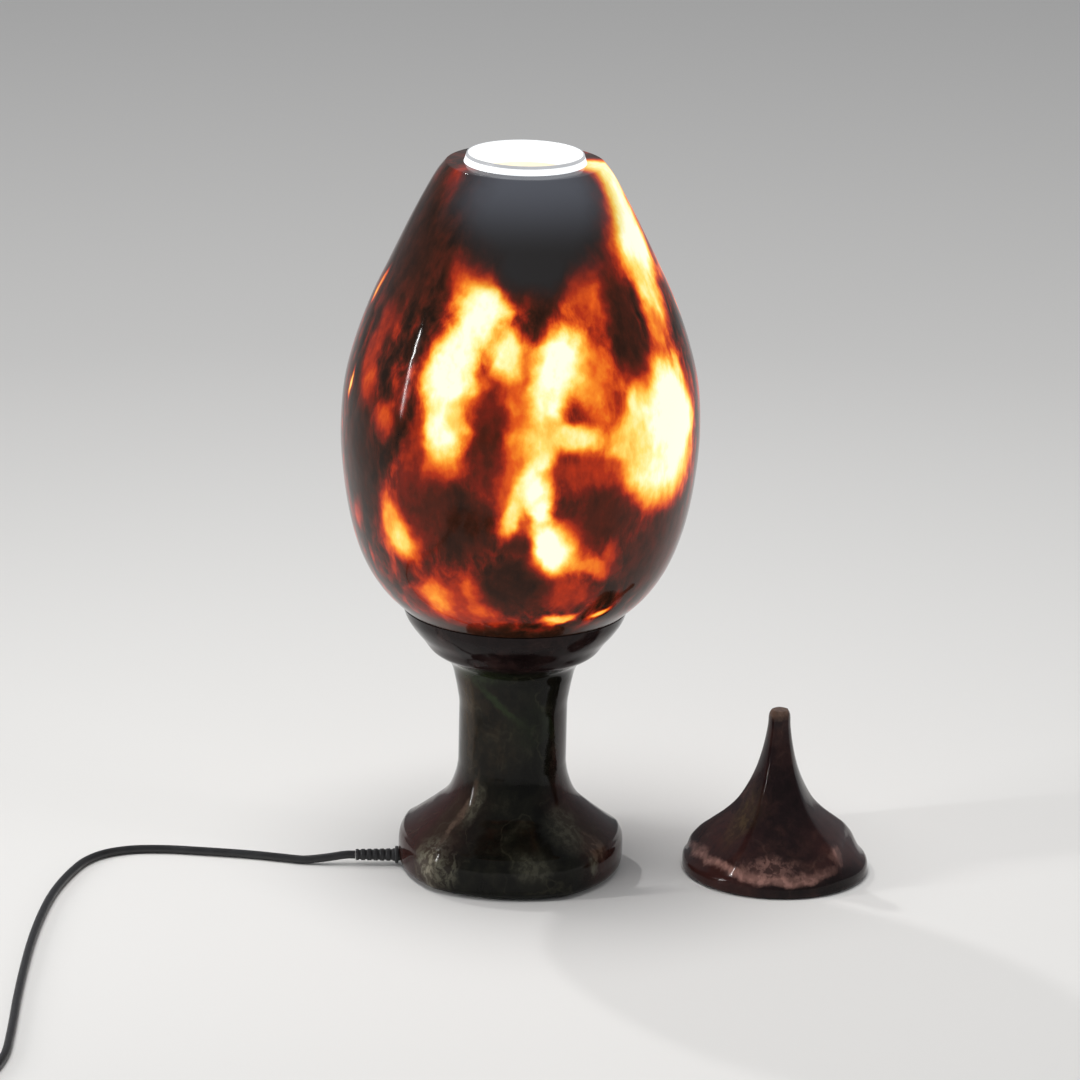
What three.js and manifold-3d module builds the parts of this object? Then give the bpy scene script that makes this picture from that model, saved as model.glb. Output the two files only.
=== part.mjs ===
// A marble table lamp: a lobed foot and stem, a bowl, a hollow egg shade of thin translucent stone with a
// bulb inside it, and a pointed cap that stands beside the lamp. Millimetres, +Z up. The origin is the
// centre of the foot's underside, and the viewer stands at -Y.
import * as THREE from "three";
import { mergeVertices } from "three/addons/utils/BufferGeometryUtils.js";
import Module from "manifold-3d";

const wasm = await Module();
wasm.setup();

// Fits and cuts
const SEAT_GAP = 0.3;
const RUN_GAP = 0.4;
const CUT_OVERRUN = 1.5;

// Counts
const STONE_SEGMENTS = 40;
const TURNED_SEGMENTS = 24;
const SMALL_SEGMENTS = 16;
const CORNER_STEPS = 3;
const SHADE_RINGS = 15;
const RIDGE_COUNT = 5;
const CORE_SIDES = 6;

// Felt under the foot
const FELT_RADIUS = 56;
const FELT_THICKNESS = 2;

// How far the ridges of the foot, stem and shade are turned, in degrees
const RIDGE_TURN = -5;

// Foot and stem, in one piece of stone; radii are across the ridges
const PEDESTAL_HEIGHT = 135.7;
const FOOT_RADIUS = 70.5;
const STEM_RADIUS = 33.8;
const NECK_RADIUS = 46.5;
const FOOT_RIDGE_SHARE = 0.24;
const STEM_RIDGE_SHARE = 0.24;
const RECESS_RADIUS = 38;
const RECESS_DEPTH = 18;
const NOTCH_RADIUS = 4;
const NOTCH_HEIGHT = 6.5;
const NOTCH_TURN = 4;
const FOOT_SHOULDER_SHARE = 0.155;
const STEM_FOOT_SHARE = 0.48;
const STEM_TOP_SHARE = 0.75;

// Bowl under the shade
const BOWL_HEIGHT = 28.7;
const BOWL_FOOT_RADIUS = 47.5;
const BOWL_FLOOR = 15.7;
const BOWL_FLOOR_RADIUS = 38;
const SPIGOT_HEIGHT = 5;
const SPIGOT_WALL = 6;

// Egg shade; its belly radius is across the ridges
const SEAT_RADIUS = 68;
const SHADE_BELLY_RADIUS = 111;
const SHADE_BELLY_HEIGHT = 108.5;
const SHADE_HEIGHT = 272.7;
const SHADE_SHOULDER_RADIUS = 47;
const SHADE_WALL = 8;
const SHADE_RIDGE_SHARE = 0.22;
const MOUTH_RADIUS = 33.8;
const COLLAR_WALL = 1.9;
const COLLAR_HEIGHT = 5.4;

// Cap that covers the mouth; it stands beside the lamp
const CAP_RADIUS = 56.5;
const CAP_RIM_HEIGHT = 10.7;
const CAP_HEIGHT = 102.5;
const CAP_TIP_RADIUS = 6.6;
const CAP_RIDGE_SHARE = 0.85;
const CAP_RIDGE_TURN = -28;
const CAP_PLACE_X = 162;
const CAP_PLACE_Y = 5;

// Threaded tube, washers and nuts that clamp the stones together
const TUBE_RADIUS = 5;
const TUBE_BORE = 3.6;
const TUBE_TAIL = 1.7;
const WASHER_RADIUS = 14;
const WASHER_THICKNESS = 1.5;
const NUT_ACROSS_FLATS = 17;
const NUT_THICKNESS = 6;

// Lampholder
const HOLDER_RADIUS = 20.5;
const HOLDER_WALL = 2.2;
const HOLDER_NECK_RADIUS = 8;
const HOLDER_NECK_HEIGHT = 8;
const HOLDER_CAP_HEIGHT = 22;
const HOLDER_LEDGE_DEPTH = 5;
const HOLDER_LEDGE_WIDTH = 1.6;
const HOLDER_SKIRT_HEIGHT = 36;
const HOLDER_LIP = 2;
const INSERT_HEIGHT = 12;
const SHELL_WALL = 0.6;
const SHELL_HEIGHT = 21;
const CONTACT_THICKNESS = 0.6;
const CONTACT_WIDTH = 5;
const CONTACT_RISE = 2.6;
const TERMINAL_SPREAD = 9.5;
const TERMINAL_HEAD_RADIUS = 2.8;
const TERMINAL_HEAD_HEIGHT = 1.8;
const TERMINAL_SHANK_RADIUS = 1.4;
const TERMINAL_SHANK_LENGTH = 7;

// Bulb
const BULB_RADIUS = 30;
const BULB_HEIGHT = 115;
const BULB_CAP_RADIUS = 13.1;
const BULB_CAP_HEIGHT = 22;
const BULB_THREAD_DEPTH = 0.9;
const BULB_THREAD_COUNT = 4;
const BULB_TIP_RADIUS = 4.6;
const BULB_TIP_HEIGHT = 1.2;
const BULB_INSULATOR_HEIGHT = 3.6;
const BULB_HOUSING_HEIGHT = 34;
const BULB_WALL = 1.4;
const LED_BOARD_THICKNESS = 1.6;
const DRIVER_WIDTH = 15;
const DRIVER_THICKNESS = 1.6;

// Mains cord, its bush and the two cores inside the lamp
const CORD_RADIUS = 2.5;
const CORD_SIDES = 8;
const CORD_STEP = 12;
const CORE_RADIUS = 0.95;
const CORE_SPACING = 1.35;
const BUSH_FLANGE_RADIUS = 5.3;
const BUSH_FLANGE_THICKNESS = 2;
const BUSH_NECK_LENGTH = 8;
const BUSH_TAIL_LENGTH = 24;
const BUSH_TAIL_RADIUS = 3.9;
const BUSH_TIP_RADIUS = 3.4;
const CORD_CLEARANCE = 0.25;
const CORD_FALL_LENGTH = 17.5;

// Switch on the cord; it lies along Y
const SWITCH_LENGTH = 60;
const SWITCH_WIDTH = 26;
const SWITCH_CORNER = 7;
const SWITCH_WALL = 1.8;
const SWITCH_BASE_HEIGHT = 9;
const SWITCH_COVER_HEIGHT = 9;
const SWITCH_CORD_HEIGHT = 5.4;
const SWITCH_ENTRY_DEPTH = 3;
const ROCKER_LENGTH = 22;
const ROCKER_WIDTH = 11.5;
const ROCKER_TILT = 8;
const ROCKER_RISE = 4.6;
const ROCKER_DIP = 1.3;
const ROCKER_KEEL = 3;
const PIVOT_RADIUS = 1.3;
const PIVOT_DROP = 4.2;
const CHEEK_THICKNESS = 1.6;
const CHEEK_LENGTH = 7;
const SWITCH_SCREW_SPREAD = 21;
const SWITCH_SCREW_HEAD_RADIUS = 2.6;
const SWITCH_SCREW_SHANK_RADIUS = 1.2;
const SWITCH_SCREW_HEAD_HEIGHT = 1.2;
const SWITCH_BOSS_WALL = 1.2;
const BLADE_LENGTH = 16;
const BLADE_WIDTH = 5;
const BLADE_THICKNESS = 0.8;
const BLADE_BUMP = 1;

// Plug; it lies along X
const PLUG_LENGTH = 35;
const PLUG_WIDTH = 34;
const PLUG_THICKNESS = 13.6;
const PLUG_CORNER = 5;
const PLUG_TAIL_LENGTH = 22;
const PLUG_TAIL_RADIUS = 5.6;
const PLUG_TAIL_TIP_RADIUS = 3.4;
const PIN_RADIUS = 2;
const PIN_REACH = 19;
const PIN_ROOT = 8;
const PIN_SPREAD = 9.3;

// Coil of the cord that is put away, and the tie round it
const COIL_PLACE_X = -215;
const COIL_PLACE_Y = -459;
const COIL_OUTER_RADIUS = 37;
const COIL_PITCH = 5.6;
const COIL_TURNS = 6;
const COIL_RAMP_TURNS = 0.25;
const COIL_STEPS = 24;
const COIL_SIDES = 6;
const COIL_GAP_CHECK_STEPS = 96;
const TIE_THICKNESS = 0.9;
const TIE_WIDTH = 4;
const TIE_HEAD = 3.4;

// Heights of the pieces that stand on each other
const PEDESTAL_Z = FELT_THICKNESS + SEAT_GAP;
const BOWL_Z = PEDESTAL_Z + PEDESTAL_HEIGHT + SEAT_GAP;
const SHADE_Z = BOWL_Z + BOWL_HEIGHT + SEAT_GAP;
const BOWL_WASHER_Z = BOWL_Z + BOWL_FLOOR + SEAT_GAP;
const BOWL_NUT_Z = BOWL_WASHER_Z + WASHER_THICKNESS + SEAT_GAP;
const HOLDER_Z = BOWL_NUT_Z + NUT_THICKNESS + SEAT_GAP;
const BASE_WASHER_Z = PEDESTAL_Z + RECESS_DEPTH - SEAT_GAP - WASHER_THICKNESS;
const BASE_NUT_Z = BASE_WASHER_Z - SEAT_GAP - NUT_THICKNESS;
const TUBE_Z = BASE_NUT_Z - TUBE_TAIL;
const INSERT_Z = HOLDER_Z + HOLDER_CAP_HEIGHT - HOLDER_LEDGE_DEPTH + SEAT_GAP;
const TUBE_TOP = HOLDER_Z + HOLDER_NECK_HEIGHT;
const SKIRT_Z = HOLDER_Z + HOLDER_CAP_HEIGHT + SEAT_GAP;
const CONTACT_Z = INSERT_Z + INSERT_HEIGHT + SEAT_GAP;
const BULB_Z = CONTACT_Z + CONTACT_RISE + CONTACT_THICKNESS + SEAT_GAP;
const CORD_Z = CORD_RADIUS + SEAT_GAP / 3;
const COIL_Z = TIE_THICKNESS + SEAT_GAP + CORD_RADIUS;
const INSERT_RADIUS = HOLDER_RADIUS - HOLDER_WALL - SEAT_GAP;
const SHELL_RADIUS = BULB_CAP_RADIUS + RUN_GAP;
const SPIGOT_RADIUS = SEAT_RADIUS - SHADE_WALL;

// Outline shares: [share of a height, share of a radius]
const FOOT_SHARES = [
  [0, 0.97], [0.08, 0.99], [0.3, 1], [0.8, 1], [1, 0.975],
];
const INSTEP_SHARES = [
  [0.06, 0.91], [0.17, 0.7], [0.345, 0.42], [0.52, 0.19], [0.75, 0.06], [1, 0],
];
const NECK_SHARES = [
  [0.25, 0.08], [0.5, 0.18], [0.7, 0.28], [0.83, 0.44], [0.92, 0.68], [1, 1],
];
const BOWL_SHARES = [
  [0, 0], [0.09, 0.17], [0.31, 0.4], [0.53, 0.66], [0.76, 0.87], [1, 1],
];
const SHADE_LOWER_SHARES = [
  [0, 0], [0.126, 0.325], [0.301, 0.625], [0.523, 0.85], [0.781, 0.965], [1, 1],
];
const SHADE_UPPER_SHARES = [
  [0.171, 0.97], [0.32, 0.875], [0.475, 0.73], [0.615, 0.56], [0.749, 0.385], [0.87, 0.215], [0.96, 0.08],
  [1, 0],
];
const CAP_RIM_SHARES = [
  [0, 0.965], [0.2, 1], [0.78, 1], [1, 0.975],
];
const CAP_BODY_SHARES = [
  [0.07, 0.94], [0.14, 0.84], [0.2, 0.7], [0.27, 0.53], [0.35, 0.38], [0.44, 0.27], [0.57, 0.155],
  [0.72, 0.07], [0.88, 0.015], [0.97, 0], [1, -0.03],
];
const BULB_DOME_SHARES = [
  [0, 0.985], [0.25, 1], [0.5, 0.92], [0.7, 0.76], [0.87, 0.5], [0.96, 0.25], [1, 0],
];
const ROCKER_ARC_SHARES = [0, 0.25, 0.5, 0.75, 1];
const BULB_HOUSING_SHARES = [
  [0, 0], [0.12, 0.06], [0.4, 0.42], [0.7, 0.8], [1, 1],
];
const RECESS_ROUTE_SHARES = [0.6, 0.25];
const PLUG_SIDE_SHARES = [
  [0.035, 0.4], [0.13, 0.72], [0.3, 0.94], [0.55, 1],
];

// Where the cord lies on the surface, from the lamp to the switch, as chosen: [x, y]
const CORD_ROUTE = [
  [-126, -7.2], [-138, -4.5], [-157.6, -0.2], [-188.1, 3.8], [-212, 5.6], [-232, 3], [-247, -5.5],
  [-257, -19], [-263, -35.5], [-268, -55], [-272.3, -79], [-275.5, -111], [-277.6, -152], [-278.2, -200],
  [-277.8, -248], [-276.6, -301], [-276.8, -332], [-279.8, -352], [-285.2, -370],
  [-290, -386],
];
const SWITCH_PLACE_X = -292;
const SWITCH_PLACE_Y = -435;

// Materials, one for each kind of surface
const paint = (color, roughness, metalness = 0) =>
  new THREE.MeshStandardMaterial({ color, roughness, metalness });
const DARK_MARBLE = paint(0x26251d, 0.15);
const BOWL_MARBLE = paint(0x2a1a12, 0.15);
const LIT_MARBLE = paint(0x7a2a10, 0.15);
const CAP_MARBLE = paint(0x48231d, 0.15);
const FELT = paint(0x1d2a20, 0.95);
const STEEL = paint(0x9a9a98, 0.4, 1);
const BRASS = paint(0xb08d4a, 0.35, 1);
const NICKEL = paint(0xb9bbbd, 0.3, 1);
const PHENOLIC = paint(0x141312, 0.4);
const PORCELAIN = paint(0xe6e2d8, 0.3);
const WHITE_PLASTIC = paint(0xeeeeec, 0.45);
const DIFFUSER = paint(0xf4f8ff, 0.5);
const CIRCUIT_BOARD = paint(0x2f5a3a, 0.5);
const BLACK_RUBBER = paint(0x0f0f10, 0.6);
const LIVE_CORE = paint(0x5a3417, 0.5);
const NEUTRAL_CORE = paint(0x1c3f7a, 0.5);

// Closed meshes and solids

/** The solid that a closed geometry bounds, with its faces turned outwards. */
function toSolid(geometry) {
  const bare = geometry.index ? geometry.clone() : mergeVertices(geometry.clone());
  bare.deleteAttribute("normal");
  bare.deleteAttribute("uv");
  const welded = mergeVertices(bare);
  const corners = welded.attributes.position;
  const [a, b, c] = [new THREE.Vector3(), new THREE.Vector3(), new THREE.Vector3()];
  const faces = [];
  let volume = 0;
  for (let i = 0; i < welded.index.count; i += 3) {
    const [p, q, r] = [0, 1, 2].map((k) => welded.index.getX(i + k));
    if (p === q || q === r || r === p) continue;
    faces.push([p, q, r]);
    volume += a.fromBufferAttribute(corners, p).dot(
      b.fromBufferAttribute(corners, q).cross(c.fromBufferAttribute(corners, r)),
    );
  }
  const turned = volume < 0 ? faces.map(([p, q, r]) => [r, q, p]) : faces;
  return new wasm.Manifold(
    new wasm.Mesh({ numProp: 3, vertProperties: corners.array, triVerts: new Uint32Array(turned.flat()) }),
  );
}

/** A named mesh of one solid or closed geometry. */
function piece(name, shape, material) {
  const solid = shape.isBufferGeometry ? toSolid(shape) : shape;
  const { vertProperties, triVerts } = solid.getMesh();
  const geometry = new THREE.BufferGeometry()
    .setAttribute("position", new THREE.BufferAttribute(vertProperties, 3))
    .setIndex(new THREE.BufferAttribute(triVerts, 1));
  geometry.computeVertexNormals();
  const mesh = new THREE.Mesh(geometry, material);
  mesh.name = name;
  return mesh;
}

/** A first geometry with the others cut from it. */
const cut = (first, ...others) =>
  others.reduce((solid, other) => solid.subtract(other.isBufferGeometry ? toSolid(other) : other),
    first.isBufferGeometry ? toSolid(first) : first);

/** All the geometries joined. */
const join = (first, ...others) =>
  others.reduce((solid, other) => solid.add(other.isBufferGeometry ? toSolid(other) : other),
    first.isBufferGeometry ? toSolid(first) : first);

// Turned, extruded and swept shapes

/** A shape turned about Z from an outline of [radius, height] that starts and ends on the axis or closes. */
function turned(outline, segments = TURNED_SEGMENTS) {
  const points = outline.map(([r, z]) => new THREE.Vector2(r, z));
  return new THREE.LatheGeometry(points, segments).rotateX(Math.PI / 2);
}

/** A turned ring between two radii and two heights. */
function ring(inner, outer, low, high, segments = TURNED_SEGMENTS) {
  return turned([[inner, low], [outer, low], [outer, high], [inner, high], [inner, low]], segments);
}

/** A turned disc or rod. */
function rod(radius, low, high, segments = TURNED_SEGMENTS) {
  return turned([[0, low], [radius, low], [radius, high], [0, high]], segments);
}

/** A block between two corners. */
function block(low, high) {
  const size = high.map((value, i) => value - low[i]);
  return new THREE.BoxGeometry(...size).translate(...low.map((value, i) => value + size[i] / 2));
}

/** A flat plate of a closed outline in XY, from low to high in Z. */
function plate(shape, low, high) {
  const settings = { depth: high - low, bevelEnabled: false, curveSegments: CORNER_STEPS };
  return new THREE.ExtrudeGeometry(shape, settings).translate(0, 0, low);
}

/** The outline of a rectangle with round corners, centred on the origin. */
function roundedRectangle(width, length, corner) {
  const [x, y] = [width / 2, length / 2];
  const r = Math.min(corner, x, y);
  const quarter = Math.PI / 2;
  return new THREE.Shape()
    .moveTo(x - r, -y)
    .absarc(x - r, -y + r, r, -quarter, 0)
    .absarc(x - r, y - r, r, 0, quarter)
    .absarc(-x + r, y - r, r, quarter, 2 * quarter)
    .absarc(-x + r, -y + r, r, 2 * quarter, 3 * quarter);
}

/** A tube of a given radius along the points of a route. */
function tube(route, radius, sides, step) {
  const path = new THREE.CatmullRomCurve3(route.map((point) => new THREE.Vector3(...point)));
  const section = new THREE.Shape(
    Array.from({ length: sides }, (_, i) => {
      const angle = (2 * Math.PI * (i + 0.5)) / sides;
      return new THREE.Vector2(radius * Math.cos(angle), radius * Math.sin(angle));
    }),
  );
  const steps = Math.ceil(path.getLength() / step);
  return new THREE.ExtrudeGeometry(section, { steps, bevelEnabled: false, extrudePath: path });
}

/** A smooth outline through a few points, as evenly spaced points. */
function smooth(points, count) {
  return new THREE.SplineCurve(points.map(([r, z]) => new THREE.Vector2(r, z)))
    .getSpacedPoints(count)
    .map(({ x, y }) => [x, y]);
}

/** An outline of [radius, height] moved inwards, square to itself. */
function insetOutline(outline, distance) {
  return outline.map(([r, z], i) => {
    const [before, after] = [outline[Math.max(i - 1, 0)], outline[Math.min(i + 1, outline.length - 1)]];
    const along = new THREE.Vector2(after[0] - before[0], after[1] - before[1]).normalize();
    return [r - distance * along.y, z + distance * along.x];
  });
}

/** The radius of an outline at a height. */
function radiusAt(outline, height) {
  const above = outline.findIndex(([, z]) => z >= height);
  if (above <= 0) return outline[above < 0 ? outline.length - 1 : 0][0];
  const [[r0, z0], [r1, z1]] = [outline[above - 1], outline[above]];
  return r0 + ((r1 - r0) * (height - z0)) / (z1 - z0);
}

// Ridges

/** A soft polygon's radius as a share of its ridges' radius, for an angle from a ridge and a depth. */
function ridgeShare(angle, share) {
  const half = Math.PI / RIDGE_COUNT;
  const past = ((angle % (2 * half)) + 2 * half) % (2 * half);
  return 1 - share * (1 - Math.cos(half) / Math.cos(past - half));
}

/** A geometry turned about Z and drawn in between ridges, by a share that depends on height. */
function ridged(geometry, shareAt, turnDegrees = 0) {
  const corners = geometry.attributes.position;
  const turn = THREE.MathUtils.degToRad(turnDegrees);
  for (let i = 0; i < corners.count; i += 1) {
    const [x, y, z] = [corners.getX(i), corners.getY(i), corners.getZ(i)];
    const scale = ridgeShare(Math.atan2(y, x) - Math.PI / 2 - turn, shareAt(z));
    corners.setXYZ(i, x * scale, y * scale, z);
  }
  return geometry;
}

/** A value that rises smoothly from 0 to 1 as x goes from low to high. */
const rise = (x, low, high) => THREE.MathUtils.smoothstep(x, low, high);

// Stones

/** The outline of the foot, stem and neck, from the underside up. */
function pedestalOutline() {
  const shoulder = PEDESTAL_HEIGHT * FOOT_SHOULDER_SHARE;
  const stemFoot = PEDESTAL_HEIGHT * STEM_FOOT_SHARE;
  const stemTop = PEDESTAL_HEIGHT * STEM_TOP_SHARE;
  const between = (low, high, share) => low + (high - low) * share;
  const flare = (shares, radius, low, high) =>
    shares.map(([h, r]) => [between(STEM_RADIUS, radius, r), between(low, high, h)]);
  return [
    ...FOOT_SHARES.map(([h, r]) => [FOOT_RADIUS * r, shoulder * h]),
    ...flare(INSTEP_SHARES, FOOT_RADIUS, shoulder, stemFoot),
    [STEM_RADIUS, stemTop],
    ...flare(NECK_SHARES, NECK_RADIUS, stemTop, PEDESTAL_HEIGHT),
  ];
}

/** The ridges of the pedestal are deepest on the foot and fade into its round neck. */
function pedestalShare(z) {
  const share = THREE.MathUtils.lerp(
    FOOT_RIDGE_SHARE,
    STEM_RIDGE_SHARE,
    rise(z, PEDESTAL_HEIGHT * FOOT_SHOULDER_SHARE, PEDESTAL_HEIGHT * STEM_FOOT_SHARE),
  );
  return share * (1 - rise(z, PEDESTAL_HEIGHT * STEM_TOP_SHARE, PEDESTAL_HEIGHT));
}

/** The direction in which the cord leaves the foot, as a turn about Z from +X. */
const CORD_TURN = Math.PI + THREE.MathUtils.degToRad(NOTCH_TURN);
const CORD_NOTCH_Z = NOTCH_HEIGHT - PEDESTAL_Z;
const FOOT_SIDE =
  radiusAt(pedestalOutline(), CORD_NOTCH_Z + BUSH_FLANGE_RADIUS) *
  ridgeShare(CORD_TURN - Math.PI / 2 - THREE.MathUtils.degToRad(RIDGE_TURN), pedestalShare(CORD_NOTCH_Z));

/** Foot, stem and neck, with a recess below, a hole for the tube and a notch for the cord. */
function pedestal() {
  const outline = pedestalOutline();
  const stone = ridged(
    turned([[0, 0], ...outline, [0, PEDESTAL_HEIGHT]], STONE_SEGMENTS),
    pedestalShare,
    RIDGE_TURN,
  );
  const notch = join(
    new THREE.CylinderGeometry(NOTCH_RADIUS, NOTCH_RADIUS, FOOT_RADIUS, SMALL_SEGMENTS)
      .rotateZ(Math.PI / 2)
      .translate(FOOT_RADIUS / 2 + RECESS_RADIUS / 2, 0, CORD_NOTCH_Z),
    block(
      [RECESS_RADIUS / 2, -NOTCH_RADIUS, -CUT_OVERRUN],
      [RECESS_RADIUS / 2 + FOOT_RADIUS, NOTCH_RADIUS, CORD_NOTCH_Z],
    ),
  ).rotate([0, 0, THREE.MathUtils.radToDeg(CORD_TURN)]);
  return cut(
    stone,
    rod(RECESS_RADIUS, -CUT_OVERRUN, RECESS_DEPTH),
    rod(TUBE_RADIUS + SEAT_GAP, 0, PEDESTAL_HEIGHT + CUT_OVERRUN, SMALL_SEGMENTS),
    notch,
  );
}

/** Bowl that carries the lampholder on its floor and the shade on its rim. */
function bowl() {
  const outer = BOWL_SHARES.map(([h, r]) => [
    BOWL_FOOT_RADIUS + (SEAT_RADIUS - BOWL_FOOT_RADIUS) * r,
    BOWL_HEIGHT * h,
  ]);
  const top = BOWL_HEIGHT + SPIGOT_HEIGHT;
  const spigotInside = SPIGOT_RADIUS - SPIGOT_WALL;
  const middle = (BOWL_FLOOR + BOWL_HEIGHT) / 2;
  const stone = turned(
    [
      [0, 0],
      ...outer,
      [SPIGOT_RADIUS, BOWL_HEIGHT],
      [SPIGOT_RADIUS, top],
      [spigotInside, top],
      [spigotInside, BOWL_HEIGHT],
      [(BOWL_FLOOR_RADIUS + 2 * spigotInside) / 3, middle],
      [BOWL_FLOOR_RADIUS, BOWL_FLOOR],
      [0, BOWL_FLOOR],
    ],
    STONE_SEGMENTS,
  );
  return cut(stone, rod(TUBE_RADIUS + SEAT_GAP, -CUT_OVERRUN, BOWL_FLOOR + CUT_OVERRUN, SMALL_SEGMENTS));
}

/** The shade's outer outline, from its seat to its shoulder. */
function shadeOutline() {
  const upper = SHADE_HEIGHT - SHADE_BELLY_HEIGHT;
  return smooth(
    [
      ...SHADE_LOWER_SHARES.map(([h, r]) => [
        SEAT_RADIUS + (SHADE_BELLY_RADIUS - SEAT_RADIUS) * r,
        SHADE_BELLY_HEIGHT * h,
      ]),
      ...SHADE_UPPER_SHARES.map(([h, r]) => [
        SHADE_SHOULDER_RADIUS + (SHADE_BELLY_RADIUS - SHADE_SHOULDER_RADIUS) * r,
        SHADE_BELLY_HEIGHT + upper * h,
      ]),
    ],
    SHADE_RINGS,
  );
}

/** Hollow egg with soft ridges, open below over the bowl's spigot and above through a thin collar. */
function shade() {
  const outline = shadeOutline();
  const fade = SHADE_HEIGHT / 4;
  const shareAt = (z) =>
    SHADE_RIDGE_SHARE * rise(z, 0, fade) * (1 - rise(z, SHADE_HEIGHT - fade, SHADE_HEIGHT));
  const collarRadius = MOUTH_RADIUS + COLLAR_WALL;
  const top = SHADE_HEIGHT + COLLAR_HEIGHT;
  const stone = ridged(
    turned(
      [[0, 0], ...outline, [collarRadius, SHADE_HEIGHT], [collarRadius, top], [0, top]],
      STONE_SEGMENTS,
    ),
    shareAt,
    RIDGE_TURN,
  );
  const inner = insetOutline(outline, SHADE_WALL).filter(
    ([r, z]) => z > SPIGOT_HEIGHT && z < SHADE_HEIGHT - SHADE_WALL && r > MOUTH_RADIUS,
  );
  const roof = SHADE_HEIGHT - SHADE_WALL / 2;
  const hollow = turned(
    [[0, SPIGOT_HEIGHT], [inner[0][0], SPIGOT_HEIGHT], ...inner, [MOUTH_RADIUS, roof], [0, roof]],
    STONE_SEGMENTS,
  );
  return cut(
    stone,
    hollow,
    rod(SPIGOT_RADIUS + SEAT_GAP, -CUT_OVERRUN, SPIGOT_HEIGHT + SEAT_GAP, STONE_SEGMENTS),
    rod(MOUTH_RADIUS, SHADE_HEIGHT - SHADE_WALL, top + CUT_OVERRUN, STONE_SEGMENTS),
  );
}

/** Pointed cap with a round rim, and a recess below that fits over the shade's collar. */
function cap() {
  const body = CAP_HEIGHT - CAP_RIM_HEIGHT;
  const rim = CAP_RIM_SHARES.map(([h, r]) => [CAP_RADIUS * r, CAP_RIM_HEIGHT * h]);
  const ogee = CAP_BODY_SHARES.map(([h, r]) => [
    CAP_TIP_RADIUS + (CAP_RADIUS - CAP_TIP_RADIUS) * r,
    CAP_RIM_HEIGHT + body * h,
  ]);
  const shareAt = (z) =>
    CAP_RIDGE_SHARE *
    rise(z, CAP_RIM_HEIGHT / 2, CAP_RIM_HEIGHT * 2) *
    (1 - rise(z, CAP_RIM_HEIGHT * 3, CAP_HEIGHT) / 2);
  const stone = ridged(
    turned([[0, 0], ...rim, ...ogee, [0, CAP_HEIGHT]], STONE_SEGMENTS),
    shareAt,
    CAP_RIDGE_TURN + 180,
  );
  const collarRadius = MOUTH_RADIUS + COLLAR_WALL;
  return cut(stone, rod(collarRadius + SEAT_GAP, -CUT_OVERRUN, COLLAR_HEIGHT + SEAT_GAP, STONE_SEGMENTS));
}

/** The four stones, each on what carries it, and the felt below. */
function stones() {
  const group = new THREE.Group();
  const felt = piece("base_felt", rod(FELT_RADIUS, 0, FELT_THICKNESS, STONE_SEGMENTS), FELT);
  const foot = piece("pedestal", pedestal(), DARK_MARBLE);
  foot.position.z = PEDESTAL_Z;
  const carrier = piece("shade_bowl", bowl(), BOWL_MARBLE);
  carrier.position.z = BOWL_Z;
  const egg = piece("shade", shade(), LIT_MARBLE);
  egg.position.z = SHADE_Z;
  const cover = piece("cap", cap(), CAP_MARBLE);
  cover.position.set(CAP_PLACE_X, CAP_PLACE_Y, 0);
  group.add(felt, foot, carrier, egg, cover);
  return group;
}

// Tube, washers and nuts

/** A hexagon nut on the lamp tube. */
function nut() {
  const corner = NUT_ACROSS_FLATS / Math.sqrt(3);
  const hexagon = new THREE.CylinderGeometry(corner, corner, NUT_THICKNESS, 6);
  return cut(
    hexagon.rotateX(Math.PI / 2).translate(0, 0, NUT_THICKNESS / 2),
    rod(TUBE_RADIUS + SEAT_GAP, -CUT_OVERRUN, NUT_THICKNESS + CUT_OVERRUN, SMALL_SEGMENTS),
  );
}

/** The threaded tube through the stones, with a washer and a nut at each end. */
function clampSet() {
  const group = new THREE.Group();
  const lampTube = piece("lamp_tube", ring(TUBE_BORE, TUBE_RADIUS, TUBE_Z, TUBE_TOP, SMALL_SEGMENTS), STEEL);
  group.add(lampTube);
  for (const [name, z] of [["base_washer", BASE_WASHER_Z], ["bowl_washer", BOWL_WASHER_Z]]) {
    const washer = piece(name, ring(TUBE_RADIUS + SEAT_GAP, WASHER_RADIUS, 0, WASHER_THICKNESS), STEEL);
    washer.position.z = z;
    group.add(washer);
  }
  for (const [name, z] of [["base_nut", BASE_NUT_Z], ["bowl_nut", BOWL_NUT_Z]]) {
    const hexagon = piece(name, nut(), BRASS);
    hexagon.position.z = z;
    group.add(hexagon);
  }
  return group;
}

// Lampholder

/** Lower cover of the lampholder, threaded on the tube, with a ledge for the insert. */
function holderCap() {
  const inside = HOLDER_RADIUS - HOLDER_WALL;
  const ledge = HOLDER_CAP_HEIGHT - HOLDER_LEDGE_DEPTH;
  const flare = (HOLDER_NECK_HEIGHT + ledge) / 2;
  return turned([
    [TUBE_RADIUS + SEAT_GAP, 0],
    [HOLDER_NECK_RADIUS, 0],
    [HOLDER_NECK_RADIUS, HOLDER_NECK_HEIGHT],
    [(HOLDER_NECK_RADIUS + 2 * HOLDER_RADIUS) / 3, flare],
    [HOLDER_RADIUS, ledge],
    [HOLDER_RADIUS, HOLDER_CAP_HEIGHT],
    [inside, HOLDER_CAP_HEIGHT],
    [inside, ledge],
    [inside - HOLDER_LEDGE_WIDTH, ledge],
    [(HOLDER_NECK_RADIUS + 2 * inside) / 3 - HOLDER_LEDGE_WIDTH, flare + HOLDER_WALL / 2],
    [TUBE_RADIUS + SEAT_GAP, HOLDER_NECK_HEIGHT / 2],
    [TUBE_RADIUS + SEAT_GAP, 0],
  ]);
}

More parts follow.
